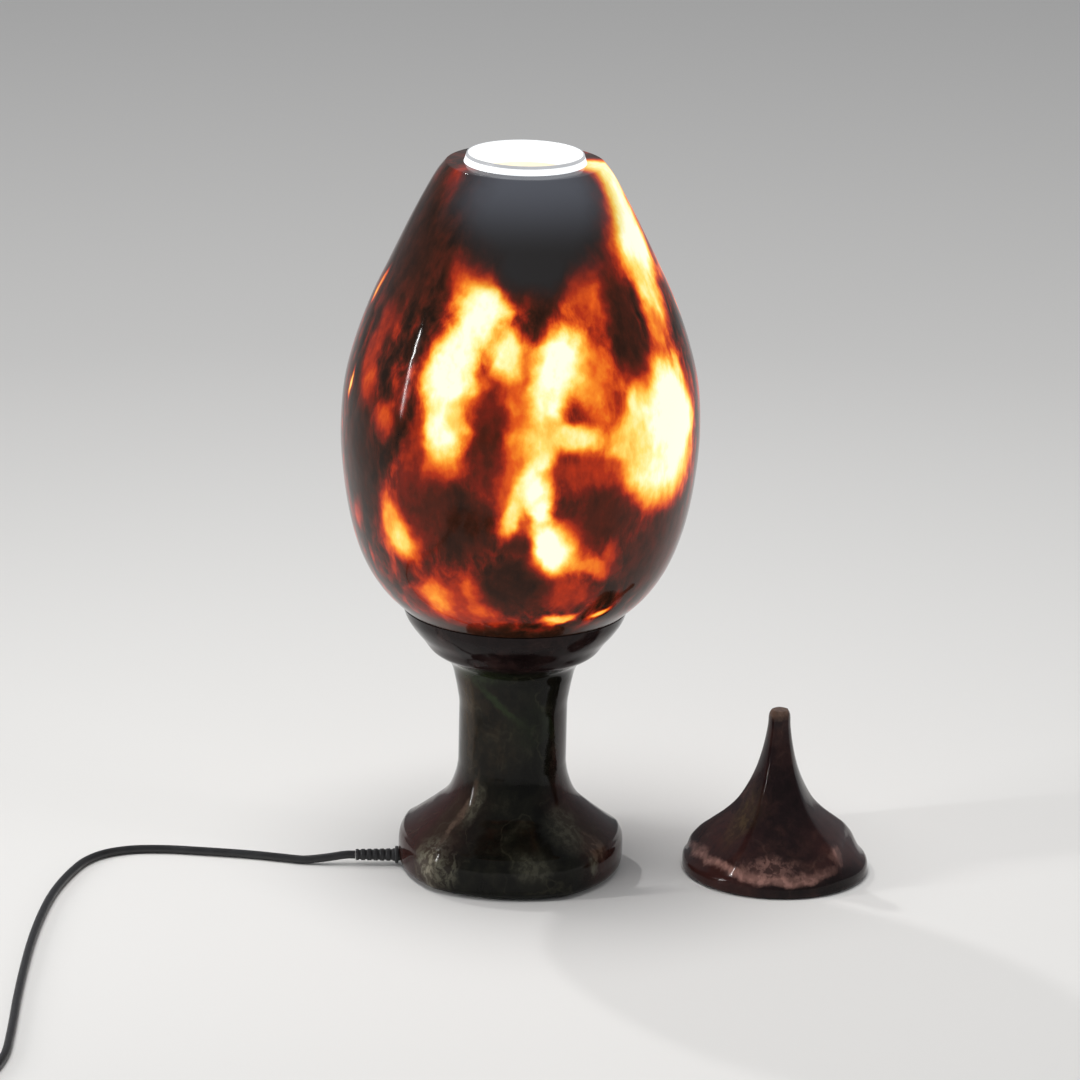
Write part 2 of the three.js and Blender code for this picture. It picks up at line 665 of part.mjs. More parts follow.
/** Outer shell of the lampholder, with a lip at the top. */
function holderSkirt() {
  const inside = HOLDER_RADIUS - HOLDER_WALL;
  const mouth = SHELL_RADIUS + SHELL_WALL + SEAT_GAP;
  return turned([
    [inside, 0],
    [HOLDER_RADIUS, 0],
    [HOLDER_RADIUS, HOLDER_SKIRT_HEIGHT - HOLDER_LIP],
    [HOLDER_RADIUS - HOLDER_LIP / 2, HOLDER_SKIRT_HEIGHT],
    [mouth, HOLDER_SKIRT_HEIGHT],
    [mouth, HOLDER_SKIRT_HEIGHT - HOLDER_LIP],
    [inside, HOLDER_SKIRT_HEIGHT - HOLDER_LIP],
    [inside, 0],
  ]);
}

/** Insulating block that holds the contacts and takes the terminal screws from below. */
function holderInsert() {
  const [radius, depth] = [TERMINAL_SHANK_RADIUS + SEAT_GAP, TERMINAL_SHANK_LENGTH + SEAT_GAP];
  const holes = [-TERMINAL_SPREAD, TERMINAL_SPREAD].map((x) =>
    rod(radius, -CUT_OVERRUN, depth, SMALL_SEGMENTS).translate(x, 0, 0),
  );
  return cut(rod(INSERT_RADIUS, 0, INSERT_HEIGHT), ...holes);
}

/** Bent strip that the bulb's tip presses on. */
function centreContact() {
  const reach = TERMINAL_SPREAD;
  const [t, h] = [CONTACT_THICKNESS, CONTACT_RISE];
  const strip = new THREE.Shape([
    new THREE.Vector2(-reach, 0),
    new THREE.Vector2(-reach / 2, 0),
    new THREE.Vector2(-reach / 5, h),
    new THREE.Vector2(reach / 3, h),
    new THREE.Vector2(reach / 3, h + t),
    new THREE.Vector2(-reach / 4, h + t),
    new THREE.Vector2(-reach / 2 - t, t),
    new THREE.Vector2(-reach, t),
  ]);
  return plate(strip, -CONTACT_WIDTH / 2, CONTACT_WIDTH / 2).rotateX(Math.PI / 2);
}

/** Angle strip that stands against the outside of the screw shell. */
function sideContact() {
  const inner = SHELL_RADIUS + SHELL_WALL + SEAT_GAP;
  const outer = inner + CONTACT_THICKNESS;
  return block([inner, -CONTACT_WIDTH / 2, 0], [outer, CONTACT_WIDTH / 2, SHELL_HEIGHT / 3]);
}

/** A terminal screw, head down. */
const terminalScrew = () =>
  turned(
    [
      [0, -TERMINAL_HEAD_HEIGHT],
      [TERMINAL_HEAD_RADIUS, -TERMINAL_HEAD_HEIGHT],
      [TERMINAL_HEAD_RADIUS, 0],
      [TERMINAL_SHANK_RADIUS, 0],
      [TERMINAL_SHANK_RADIUS, TERMINAL_SHANK_LENGTH],
      [0, TERMINAL_SHANK_LENGTH],
    ],
    SMALL_SEGMENTS,
  );

/** The lampholder on the top of the tube; its terminals lie square to the cord's way out. */
function lampholder() {
  const group = new THREE.Group();
  group.rotation.z = CORD_TURN + Math.PI / 2;
  const place = (mesh, z, x = 0) => {
    mesh.position.set(x, 0, z);
    group.add(mesh);
  };
  place(piece("holder_cap", holderCap(), PHENOLIC), HOLDER_Z);
  place(piece("holder_insert", holderInsert(), PORCELAIN), INSERT_Z);
  place(piece("holder_skirt", holderSkirt(), PHENOLIC), SKIRT_Z);
  const screwShell = ring(SHELL_RADIUS, SHELL_RADIUS + SHELL_WALL, 0, SHELL_HEIGHT);
  place(piece("holder_screw_shell", screwShell, NICKEL), CONTACT_Z);
  place(piece("holder_centre_contact", centreContact(), BRASS), CONTACT_Z);
  place(piece("holder_side_contact", sideContact(), BRASS), CONTACT_Z);
  place(piece("terminal_screw_live", terminalScrew(), BRASS), INSERT_Z - SEAT_GAP, TERMINAL_SPREAD);
  place(piece("terminal_screw_neutral", terminalScrew(), BRASS), INSERT_Z - SEAT_GAP, -TERMINAL_SPREAD);
  return group;
}

// Bulb

/** Threaded metal cap of the bulb, as a thin shell with a wavy wall for its thread. */
function bulbScrewCap() {
  const steps = 2 * BULB_THREAD_COUNT;
  const crests = Array.from({ length: steps + 1 }, (_, i) => [
    BULB_CAP_RADIUS - BULB_THREAD_DEPTH * ((i + 1) % 2),
    (BULB_CAP_HEIGHT * i) / steps,
  ]);
  const inside = BULB_CAP_RADIUS - BULB_THREAD_DEPTH - SHELL_WALL;
  return turned([[inside, 0], ...crests, [inside, BULB_CAP_HEIGHT], [inside, 0]]);
}

/** White housing of the bulb, a cone with a hollow for the driver board. */
function bulbHousing() {
  const outline = (inset) =>
    BULB_HOUSING_SHARES.map(([h, r]) => [
      BULB_CAP_RADIUS + (BULB_RADIUS - BULB_CAP_RADIUS) * r - inset,
      BULB_HOUSING_HEIGHT * h,
    ]);
  return turned([...outline(0), ...outline(BULB_WALL).reverse(), outline(0)[0]]);
}

/** Milky dome of the bulb, open below over the light board. */
function bulbDiffuser(height) {
  const outline = (radius, top) => BULB_DOME_SHARES.map(([h, r]) => [radius * r, top * h]);
  const inner = outline(BULB_RADIUS - BULB_WALL, height - BULB_WALL);
  return turned([...inner.slice().reverse(), ...outline(BULB_RADIUS, height)]);
}

/** The bulb, tip down on the centre contact. */
function bulb() {
  const group = new THREE.Group();
  group.position.z = BULB_Z;
  const insulatorZ = BULB_TIP_HEIGHT + SEAT_GAP;
  const capZ = insulatorZ + BULB_INSULATOR_HEIGHT + SEAT_GAP;
  const housingZ = capZ + BULB_CAP_HEIGHT + SEAT_GAP;
  const boardZ = housingZ + BULB_HOUSING_HEIGHT + SEAT_GAP;
  const domeZ = boardZ + LED_BOARD_THICKNESS + SEAT_GAP;
  const capInside = BULB_CAP_RADIUS - BULB_THREAD_DEPTH;
  const place = (mesh, z) => {
    mesh.position.z = z;
    group.add(mesh);
  };
  const insulator = turned([
    [0, 0],
    [BULB_TIP_RADIUS, 0],
    [capInside, BULB_INSULATOR_HEIGHT],
    [0, BULB_INSULATOR_HEIGHT],
  ]);
  const driver = block(
    [-DRIVER_WIDTH / 2, -DRIVER_THICKNESS / 2, 0],
    [DRIVER_WIDTH / 2, DRIVER_THICKNESS / 2, boardZ - capZ - 2 * SEAT_GAP],
  );
  place(piece("bulb_tip_contact", rod(BULB_TIP_RADIUS, 0, BULB_TIP_HEIGHT), NICKEL), 0);
  place(piece("bulb_insulator", insulator, PHENOLIC), insulatorZ);
  place(piece("bulb_screw_cap", bulbScrewCap(), NICKEL), capZ);
  place(piece("bulb_driver_board", driver, CIRCUIT_BOARD), capZ + SEAT_GAP);
  place(piece("bulb_housing", bulbHousing(), WHITE_PLASTIC), housingZ);
  place(piece("bulb_led_board", rod(BULB_RADIUS - BULB_WALL, 0, LED_BOARD_THICKNESS), WHITE_PLASTIC), boardZ);
  place(piece("bulb_diffuser", bulbDiffuser(BULB_HEIGHT - domeZ), DIFFUSER), domeZ);
  return group;
}

// Cord inside the lamp

/** A point at a distance along the cord's way out, a distance to its left and a height. */
function alongExit(distance, side, z) {
  const [c, s] = [Math.cos(CORD_TURN), Math.sin(CORD_TURN)];
  return [distance * c - side * s, distance * s + side * c, z];
}

const BUSH_TIP = FOOT_SIDE + SEAT_GAP + BUSH_FLANGE_THICKNESS + BUSH_TAIL_LENGTH;
const JACKET_END = RECESS_RADIUS - BUSH_FLANGE_RADIUS;

/** Bush with a flange against the foot's side and a tapered tail round the cord. */
function cordBush() {
  const face = FOOT_SIDE + SEAT_GAP;
  const neck = NOTCH_RADIUS - SEAT_GAP;
  const bore = CORD_RADIUS + CORD_CLEARANCE;
  return turned(
    [
      [bore, face - BUSH_NECK_LENGTH],
      [neck, face - BUSH_NECK_LENGTH],
      [neck, face],
      [BUSH_FLANGE_RADIUS, face],
      [BUSH_FLANGE_RADIUS, face + BUSH_FLANGE_THICKNESS],
      [BUSH_TAIL_RADIUS, face + BUSH_FLANGE_THICKNESS],
      [BUSH_TIP_RADIUS, BUSH_TIP],
      [bore, BUSH_TIP],
      [bore, face - BUSH_NECK_LENGTH],
    ],
    SMALL_SEGMENTS,
  ).rotateY(Math.PI / 2);
}

/** One core from the end of the jacket, through the tube, to its terminal screw. */
function core(side) {
  const offset = side * CORE_SPACING;
  const start = JACKET_END - SEAT_GAP;
  const [first, second] = RECESS_ROUTE_SHARES.map((share) => alongExit(start * share, offset, NOTCH_HEIGHT));
  const terminalTop = INSERT_Z - SEAT_GAP - TERMINAL_HEAD_HEIGHT - SEAT_GAP;
  const spread = side * TERMINAL_SPREAD;
  return tube(
    [
      alongExit(start, offset, NOTCH_HEIGHT),
      first,
      second,
      alongExit(CORE_RADIUS, offset, TUBE_Z),
      alongExit(0, offset, BASE_WASHER_Z),
      alongExit(0, offset, PEDESTAL_Z + PEDESTAL_HEIGHT / 2),
      alongExit(0, offset, HOLDER_Z),
      alongExit(0, offset, TUBE_TOP - CORE_RADIUS),
      alongExit(0, spread / 2, (TUBE_TOP + terminalTop) / 2),
      alongExit(0, spread, terminalTop - CORE_RADIUS),
      alongExit(0, spread, terminalTop),
    ],
    CORE_RADIUS,
    CORE_SIDES,
    CORD_STEP / 3,
  );
}

/** Bush, jacket and cores that the lamp holds. */
function innerLead() {
  const group = new THREE.Group();
  const bush = piece("cord_bush", cordBush(), BLACK_RUBBER);
  bush.position.z = NOTCH_HEIGHT;
  bush.rotation.z = CORD_TURN;
  const jacket = piece(
    "lead_jacket",
    rod(CORD_RADIUS, JACKET_END, BUSH_TIP, CORD_SIDES).rotateY(Math.PI / 2),
    BLACK_RUBBER,
  );
  jacket.position.z = NOTCH_HEIGHT;
  jacket.rotation.z = CORD_TURN;
  group.add(bush, jacket);
  group.add(piece("core_live", core(1), LIVE_CORE), piece("core_neutral", core(-1), NEUTRAL_CORE));
  return group;
}

// Switch on the cord

const SWITCH_TOP = SWITCH_BASE_HEIGHT + SEAT_GAP + SWITCH_COVER_HEIGHT;
const PIVOT_Z = SWITCH_TOP - PIVOT_DROP;
const ROCKER_RADIUS = Math.hypot(ROCKER_LENGTH / 2, ROCKER_RISE);

const SCREW_HOLE_RADIUS = SWITCH_SCREW_SHANK_RADIUS + SEAT_GAP;
const SWITCH_SCREW_X = SWITCH_WIDTH / 2 - SWITCH_WALL - SWITCH_BOSS_WALL / 2 - SCREW_HOLE_RADIUS;

/** A pair of rods on the axes of the switch's two screws. */
const screwRods = (radius, low, high) =>
  [-1, 1].map((side) =>
    rod(radius, low, high, SMALL_SEGMENTS).translate(side * SWITCH_SCREW_X, side * SWITCH_SCREW_SPREAD, 0),
  );

/** Holes in the switch's ends for the cord. */
const cordHoles = () =>
  new THREE.CylinderGeometry(
    CORD_RADIUS + CORD_CLEARANCE,
    CORD_RADIUS + CORD_CLEARANCE,
    SWITCH_LENGTH + 2 * CUT_OVERRUN,
    SMALL_SEGMENTS,
  ).translate(0, 0, SWITCH_CORD_HEIGHT);

/** Lower shell of the switch, with two bosses for its screws. */
function switchBase() {
  const inner = roundedRectangle(
    SWITCH_WIDTH - 2 * SWITCH_WALL,
    SWITCH_LENGTH - 2 * SWITCH_WALL,
    SWITCH_CORNER - SWITCH_WALL,
  );
  const shell = cut(
    plate(roundedRectangle(SWITCH_WIDTH, SWITCH_LENGTH, SWITCH_CORNER), 0, SWITCH_BASE_HEIGHT),
    plate(inner, SWITCH_WALL, SWITCH_BASE_HEIGHT + CUT_OVERRUN),
    cordHoles(),
  );
  return cut(
    join(shell, ...screwRods(SCREW_HOLE_RADIUS + SWITCH_BOSS_WALL, 0, SWITCH_BASE_HEIGHT)),
    ...screwRods(SCREW_HOLE_RADIUS, -CUT_OVERRUN, SWITCH_BASE_HEIGHT + CUT_OVERRUN),
    ...screwRods(SWITCH_SCREW_HEAD_RADIUS + SEAT_GAP, -CUT_OVERRUN, SWITCH_SCREW_HEAD_HEIGHT + SEAT_GAP),
  );
}

/** Upper shell of the switch, with the rocker's window and the two cheeks that carry its pivots. */
function switchCover() {
  const inner = roundedRectangle(
    SWITCH_WIDTH - 2 * SWITCH_WALL,
    SWITCH_LENGTH - 2 * SWITCH_WALL,
    SWITCH_CORNER - SWITCH_WALL,
  );
  const roof = SWITCH_TOP - SWITCH_WALL;
  const low = SWITCH_BASE_HEIGHT + SEAT_GAP;
  const shell = cut(
    plate(roundedRectangle(SWITCH_WIDTH, SWITCH_LENGTH, SWITCH_CORNER), low, SWITCH_TOP),
    plate(inner, low - CUT_OVERRUN, roof),
  );
  const cheekX = ROCKER_WIDTH / 2 + RUN_GAP;
  const cheekOut = cheekX + CHEEK_THICKNESS;
  const cheeks = [[cheekX, cheekOut], [-cheekOut, -cheekX]].map(([left, right]) =>
    block([left, -CHEEK_LENGTH / 2, PIVOT_Z - CHEEK_LENGTH / 2], [right, CHEEK_LENGTH / 2, roof + SEAT_GAP]),
  );
  const posts = screwRods(SCREW_HOLE_RADIUS + SWITCH_BOSS_WALL, low, roof + SEAT_GAP);
  const postHoles = screwRods(SCREW_HOLE_RADIUS, low - CUT_OVERRUN, roof - SEAT_GAP);
  const window = block(
    [-ROCKER_WIDTH / 2 - RUN_GAP, -ROCKER_RADIUS - RUN_GAP, roof - CUT_OVERRUN],
    [ROCKER_WIDTH / 2 + RUN_GAP, ROCKER_RADIUS + RUN_GAP, SWITCH_TOP + CUT_OVERRUN],
  );
  const pivotHole = new THREE.CylinderGeometry(
    PIVOT_RADIUS + SEAT_GAP, PIVOT_RADIUS + SEAT_GAP, SWITCH_WIDTH - 2 * SWITCH_WALL, SMALL_SEGMENTS,
  ).rotateZ(Math.PI / 2).translate(0, 0, PIVOT_Z);
  return cut(join(shell, ...cheeks, ...posts), window, pivotHole, ...postHoles);
}

/** Rocker whose ends are arcs about its pivot, with a shallow dip across its top. */
function rocker() {
  const half = ROCKER_LENGTH / 2;
  const lowEnd = -ROCKER_KEEL / 2;
  const endAngles = [Math.atan2(lowEnd, half), Math.atan2(ROCKER_RISE, half)];
  const arc = ROCKER_ARC_SHARES.map((share) => {
    const angle = THREE.MathUtils.lerp(...endAngles, share);
    return new THREE.Vector2(ROCKER_RADIUS * Math.cos(angle), ROCKER_RADIUS * Math.sin(angle));
  });
  const side = new THREE.Shape([
    new THREE.Vector2(0, -ROCKER_KEEL),
    ...arc,
    new THREE.Vector2(0, ROCKER_RISE - ROCKER_DIP),
    ...arc.slice().reverse().map(({ x, y }) => new THREE.Vector2(-x, y)),
  ]);
  const body = plate(side, -ROCKER_WIDTH / 2, ROCKER_WIDTH / 2).rotateX(Math.PI / 2).rotateZ(Math.PI / 2);
  const pivotLength = ROCKER_WIDTH + 2 * (RUN_GAP + CHEEK_THICKNESS);
  const pivot = new THREE.CylinderGeometry(PIVOT_RADIUS, PIVOT_RADIUS, pivotLength, SMALL_SEGMENTS);
  return join(body, pivot.rotateZ(Math.PI / 2));
}

/** A contact blade on the switch's floor, with a bump towards the rocker. */
function blade() {
  const [l, t] = [BLADE_LENGTH, BLADE_THICKNESS];
  const side = new THREE.Shape([
    new THREE.Vector2(0, 0),
    new THREE.Vector2(l, 0),
    new THREE.Vector2(l, t),
    new THREE.Vector2(l / 4, t),
    new THREE.Vector2(l / 8, t + BLADE_BUMP),
    new THREE.Vector2(0, t + BLADE_BUMP),
  ]);
  return plate(side, -BLADE_WIDTH / 2, BLADE_WIDTH / 2).rotateX(Math.PI / 2).rotateZ(Math.PI / 2);
}

/** A screw that holds the switch's shells together, head down in the base. */
function switchScrew() {
  const tip = SWITCH_TOP - SWITCH_WALL - 2 * SEAT_GAP;
  return turned(
    [
      [0, 0],
      [SWITCH_SCREW_HEAD_RADIUS, 0],
      [SWITCH_SCREW_HEAD_RADIUS, SWITCH_SCREW_HEAD_HEIGHT],
      [SWITCH_SCREW_SHANK_RADIUS, SWITCH_SCREW_HEAD_HEIGHT],
      [SWITCH_SCREW_SHANK_RADIUS, tip],
      [0, tip],
    ],
    SMALL_SEGMENTS,
  );
}

/** The switch on the cord, lying along Y; its rocker rests tilted to one side. */
function cordSwitch() {
  const group = new THREE.Group();
  group.position.set(SWITCH_PLACE_X, SWITCH_PLACE_Y, 0);
  const tilting = piece("switch_rocker", rocker(), BLACK_RUBBER);
  tilting.position.z = PIVOT_Z;
  tilting.rotation.x = THREE.MathUtils.degToRad(-ROCKER_TILT);
  group.add(
    piece("switch_base", switchBase(), BLACK_RUBBER),
    piece("switch_cover", switchCover(), BLACK_RUBBER),
    tilting,
  );
  for (const side of [-1, 1]) {
    const word = side < 0 ? "out" : "in";
    const strip = piece(`switch_contact_${word}`, blade(), BRASS);
    strip.rotation.z = side < 0 ? Math.PI : 0;
    strip.position.set(0, side * BLADE_WIDTH / 2, SWITCH_WALL + SEAT_GAP);
    const screw = piece(`switch_screw_${word}`, switchScrew(), STEEL);
    screw.position.set(side * SWITCH_SCREW_X, side * SWITCH_SCREW_SPREAD, SEAT_GAP / 2);
    group.add(strip, screw);
  }
  return group;
}

// Coil and the cord's other stretches

const COIL_START = [COIL_PLACE_X, COIL_PLACE_Y - COIL_OUTER_RADIUS];

/** A point of the coil's centre line, some turns from its start; it spirals in, climbs and spirals out. */
function coilPoint(turns) {
  const middle = COIL_TURNS / 2;
  const climb = rise(turns, middle - COIL_RAMP_TURNS, middle + COIL_RAMP_TURNS);
  const fromMiddle = Math.abs(turns - middle);
  const rounded = (COIL_RAMP_TURNS + (fromMiddle * fromMiddle) / COIL_RAMP_TURNS) / 2;
  const away = fromMiddle > COIL_RAMP_TURNS ? fromMiddle : rounded;
  const radius = COIL_OUTER_RADIUS - COIL_PITCH * (middle - away);
  const angle = 2 * Math.PI * turns - Math.PI / 2;
  return new THREE.Vector3(
    COIL_PLACE_X + radius * Math.cos(angle),
    COIL_PLACE_Y + radius * Math.sin(angle),
    COIL_Z + COIL_PITCH * climb,
  );
}

/** The coil's centre line, with a straight end of one cord diameter at each side. */
function coilLine(steps) {
  const count = COIL_TURNS * steps;
  const winding = Array.from({ length: count + 1 }, (_, i) => coilPoint(i / steps));
  const straight = new THREE.Vector3(2 * CORD_RADIUS, 0, 0);
  return [winding[0].clone().sub(straight), ...winding, winding[count].clone().add(straight)];
}

/** A tube round a line that lies nearly level, with one side of its section down. */
function levelTube(line, radius, sides) {
  const corners = [];
  const faces = [];
  line.forEach((centre, i) => {
    const [before, after] = [line[Math.max(i - 1, 0)], line[Math.min(i + 1, line.length - 1)]];
    const along = after.clone().sub(before).normalize();
    const across = new THREE.Vector3(along.y, -along.x, 0).normalize();
    const up = across.clone().cross(along);
    for (let k = 0; k < sides; k += 1) {
      const angle = (2 * Math.PI * (k + 0.5)) / sides - Math.PI / 2;
      const corner = centre.clone().addScaledVector(across, radius * Math.cos(angle));
      corners.push(...corner.addScaledVector(up, radius * Math.sin(angle)));
      const [a, b] = [i * sides + k, i * sides + ((k + 1) % sides)];
      if (i) faces.push(a - sides, b - sides, b, a - sides, b, a);
    }
  });
  const last = (line.length - 1) * sides;
  for (let k = 1; k < sides - 1; k += 1) faces.push(0, k + 1, k, last, last + k, last + k + 1);
  return new THREE.BufferGeometry()
    .setAttribute("position", new THREE.Float32BufferAttribute(corners, 3))
    .setIndex(faces);
}

/** The least gap between the coil and itself, measured between points at least a third of a turn apart. */
function coilGap() {
  const line = coilLine(COIL_GAP_CHECK_STEPS);
  const apart = COIL_GAP_CHECK_STEPS / 3;
  let least = Infinity;
  for (let i = 0; i < line.length; i += 1) {
    for (let k = i + apart; k < line.length; k += 1) least = Math.min(least, line[i].distanceTo(line[k]));
  }
  return least - 2 * CORD_RADIUS;
}

/** Flat tie round the coil's bundle of turns, on the side away from its ends. */
function coilTie() {
  const inner = COIL_OUTER_RADIUS - COIL_PITCH * (COIL_TURNS / 2 - 0.5) - COIL_PITCH / 2;
  const outer = COIL_OUTER_RADIUS;
  const low = TIE_THICKNESS;
  const high = COIL_Z + COIL_PITCH + CORD_RADIUS + SEAT_GAP;
  const [width, height] = [outer - inner + 2 * SEAT_GAP, high - low];
  const frame = roundedRectangle(width + 2 * TIE_THICKNESS, height + 2 * TIE_THICKNESS, TIE_THICKNESS);
  frame.holes.push(roundedRectangle(width, height, TIE_THICKNESS / 3));
  const band = plate(frame, -TIE_WIDTH / 2, TIE_WIDTH / 2)
    .rotateX(Math.PI / 2)
    .rotateZ(Math.PI / 2)
    .translate(0, (inner + outer) / 2, (low + high) / 2);
  const head = block(
    [-TIE_HEAD / 2, outer + SEAT_GAP + TIE_THICKNESS / 2, (low + high) / 2 - TIE_HEAD / 2],
    [TIE_HEAD / 2, outer + SEAT_GAP + TIE_HEAD, (low + high) / 2 + TIE_HEAD / 2],
  );
  return join(band, head).translate([COIL_PLACE_X, COIL_PLACE_Y, 0]);
}

/** The free stretches, the coil and its tie. */
function freeCord() {
  const group = new THREE.Group();
  const switchEnd = SWITCH_LENGTH / 2 - SWITCH_ENTRY_DEPTH;
  const tip = BUSH_TIP + SEAT_GAP;
  const lampSide = [
    alongExit(tip, 0, NOTCH_HEIGHT),
    alongExit(tip + 2 * CORD_RADIUS, 0, NOTCH_HEIGHT),
    alongExit(tip + CORD_FALL_LENGTH, 0, (NOTCH_HEIGHT + CORD_Z) / 2),
    ...CORD_ROUTE.map(([x, y]) => [x, y, CORD_Z]),
    [SWITCH_PLACE_X, SWITCH_PLACE_Y + SWITCH_LENGTH / 2 + 2 * CORD_RADIUS, SWITCH_CORD_HEIGHT],
    [SWITCH_PLACE_X, SWITCH_PLACE_Y + switchEnd, SWITCH_CORD_HEIGHT],
  ];
  const start = COIL_START[0] - 2 * CORD_RADIUS - SEAT_GAP;
  const south = SWITCH_PLACE_Y - SWITCH_LENGTH / 2;
  const plugSide = [
    [SWITCH_PLACE_X, SWITCH_PLACE_Y - switchEnd, SWITCH_CORD_HEIGHT],
    [SWITCH_PLACE_X, south - 2 * CORD_RADIUS, SWITCH_CORD_HEIGHT],
    ...PLUG_SIDE_SHARES.map(([x, y]) => [
      THREE.MathUtils.lerp(SWITCH_PLACE_X, start, x),
      THREE.MathUtils.lerp(south, COIL_START[1], y),
      COIL_Z,
    ]),
    [start, COIL_START[1], COIL_Z],
  ];
  const top = COIL_Z + COIL_PITCH;
  const leave = COIL_START[0] + 2 * CORD_RADIUS + SEAT_GAP;
  const plugEnd = [
    [leave, COIL_START[1], top],
    [leave + CORD_STEP / 2, COIL_START[1], top],
    [PLUG_PLACE_X - SEAT_GAP - 2 * CORD_RADIUS, COIL_START[1], PLUG_THICKNESS / 2],
    [PLUG_PLACE_X - SEAT_GAP, COIL_START[1], PLUG_THICKNESS / 2],
  ];
  group.add(
    piece("cord_lamp_side", tube(lampSide, CORD_RADIUS, CORD_SIDES, CORD_STEP), BLACK_RUBBER),
    piece("cord_plug_side", tube(plugSide, CORD_RADIUS, CORD_SIDES, CORD_STEP), BLACK_RUBBER),
    piece("cord_coil", levelTube(coilLine(COIL_STEPS), CORD_RADIUS, COIL_SIDES), BLACK_RUBBER),
    piece("cord_plug_end", tube(plugEnd, CORD_RADIUS, CORD_SIDES, CORD_STEP), BLACK_RUBBER),
    piece("cord_tie", coilTie(), BLACK_RUBBER),
  );
  return group;
}

// Plug

const PLUG_PLACE_X = COIL_PLACE_X + COIL_OUTER_RADIUS;

/** Moulded body of the plug with its tapered tail, tail first along X. */
function plugBody() {
  const tail = turned(
    [
      [0, 0],
      [PLUG_TAIL_TIP_RADIUS, 0],
      [PLUG_TAIL_RADIUS, PLUG_TAIL_LENGTH],
      [PLUG_TAIL_RADIUS, PLUG_TAIL_LENGTH + CUT_OVERRUN],
      [0, PLUG_TAIL_LENGTH + CUT_OVERRUN],
    ],
    SMALL_SEGMENTS,
  ).rotateY(Math.PI / 2);
  const body = plate(
    roundedRectangle(PLUG_THICKNESS, PLUG_WIDTH, PLUG_CORNER),
    PLUG_TAIL_LENGTH,
    PLUG_TAIL_LENGTH + PLUG_LENGTH,
  ).rotateY(Math.PI / 2);
  const end = PLUG_TAIL_LENGTH + PLUG_LENGTH;
  const holes = [-1, 1].map((side) =>
    rod(PIN_RADIUS + SEAT_GAP, end - PIN_ROOT - SEAT_GAP, end + CUT_OVERRUN, SMALL_SEGMENTS)
      .rotateY(Math.PI / 2)
      .translate(0, side * PIN_SPREAD, 0),
  );
  return cut(join(body, tail), ...holes);
}

/** A round pin with a blunt end. */
const plugPin = () =>
  turned(
    [
      [0, -PIN_ROOT],
      [PIN_RADIUS, -PIN_ROOT],
      [PIN_RADIUS, PIN_REACH - PIN_RADIUS / 2],
      [PIN_RADIUS / 2, PIN_REACH],
      [0, PIN_REACH],
    ],
    SMALL_SEGMENTS,
  ).rotateY(Math.PI / 2);

/** The plug, lying flat beside the coil. */
function plug() {
  const group = new THREE.Group();
  group.position.set(PLUG_PLACE_X, COIL_START[1], PLUG_THICKNESS / 2);
  group.add(piece("plug_body", plugBody(), BLACK_RUBBER));
  for (const side of [-1, 1]) {
    const pin = piece(`plug_pin_${side < 0 ? 1 : 2}`, plugPin(), NICKEL);
    pin.position.set(PLUG_TAIL_LENGTH + PLUG_LENGTH, side * PIN_SPREAD, 0);
    group.add(pin);
  }
  return group;
}

// Whole lamp

const lamp = new THREE.Group();
lamp.add(stones(), clampSet(), lampholder(), bulb(), innerLead(), cordSwitch(), freeCord(), plug());
console.log(`least gap of the coil to itself: ${coilGap().toFixed(2)} mm`);

export default lamp;
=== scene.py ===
"""Visual model of a marble table lamp with a lit egg shade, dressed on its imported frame."""

import logging
import math
from dataclasses import dataclass
from enum import Enum
from functools import cache
from typing import Any, Callable, Sequence

import bmesh
import bpy
import numpy as np
from mathutils import Matrix, Vector


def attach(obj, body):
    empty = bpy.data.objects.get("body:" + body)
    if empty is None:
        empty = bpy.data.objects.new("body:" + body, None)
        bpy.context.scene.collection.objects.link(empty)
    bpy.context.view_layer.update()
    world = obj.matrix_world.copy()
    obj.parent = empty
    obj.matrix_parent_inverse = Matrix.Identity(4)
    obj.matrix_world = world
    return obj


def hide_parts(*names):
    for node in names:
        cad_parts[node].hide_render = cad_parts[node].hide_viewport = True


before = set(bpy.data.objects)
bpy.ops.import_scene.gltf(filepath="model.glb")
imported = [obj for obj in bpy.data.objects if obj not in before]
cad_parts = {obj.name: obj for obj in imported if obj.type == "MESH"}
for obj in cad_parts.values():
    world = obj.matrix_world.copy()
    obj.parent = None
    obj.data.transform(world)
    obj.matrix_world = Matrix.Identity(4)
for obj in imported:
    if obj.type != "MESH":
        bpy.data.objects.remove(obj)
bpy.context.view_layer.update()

MM = 0.001
LOBE_COUNT = 5
RIDGE_TURN = math.radians(-5)
SPLINE_STEPS = 32  # samples between two points of an outline
CORNER_STEPS = 8  # steps round a corner of a slab
BULB_PITCH = 3.6  # pitch of the bulb's thread, in millimetres
THREAD_STEPS = 7  # steps along one pitch of a thread
SCREW_DEPTH_SHARE = 0.352  # depth of a screw's thread, as a share of its pitch
LOBE_SAG = 0.19  # how far a full lobe's side is drawn in, as a share of the radius
GAP = 0.3  # clearance between pieces that meet, in millimetres
AXIS = 0.0005  # radius of an outline's end on the axis, in millimetres
WELD = 1e-6  # points nearer than this merge, in metres
EXIT_TURN, EXIT_HEIGHT = 184.0, 6.5  # where the cord leaves the foot, in degrees and millimetres
CORD_BORE = 2.75  # radius of a hole round the cord
TUBE_BORE = 5.3  # radius of a hole round the threaded tube
SWITCH_CENTRE, SWITCH_LIE = (-292.0, -435.0), 5.4  # the switch's middle, and the cord's height in it
PLUG_START, PLUG_HALF = -178.0, 6.8  # where the plug starts, and half its thickness

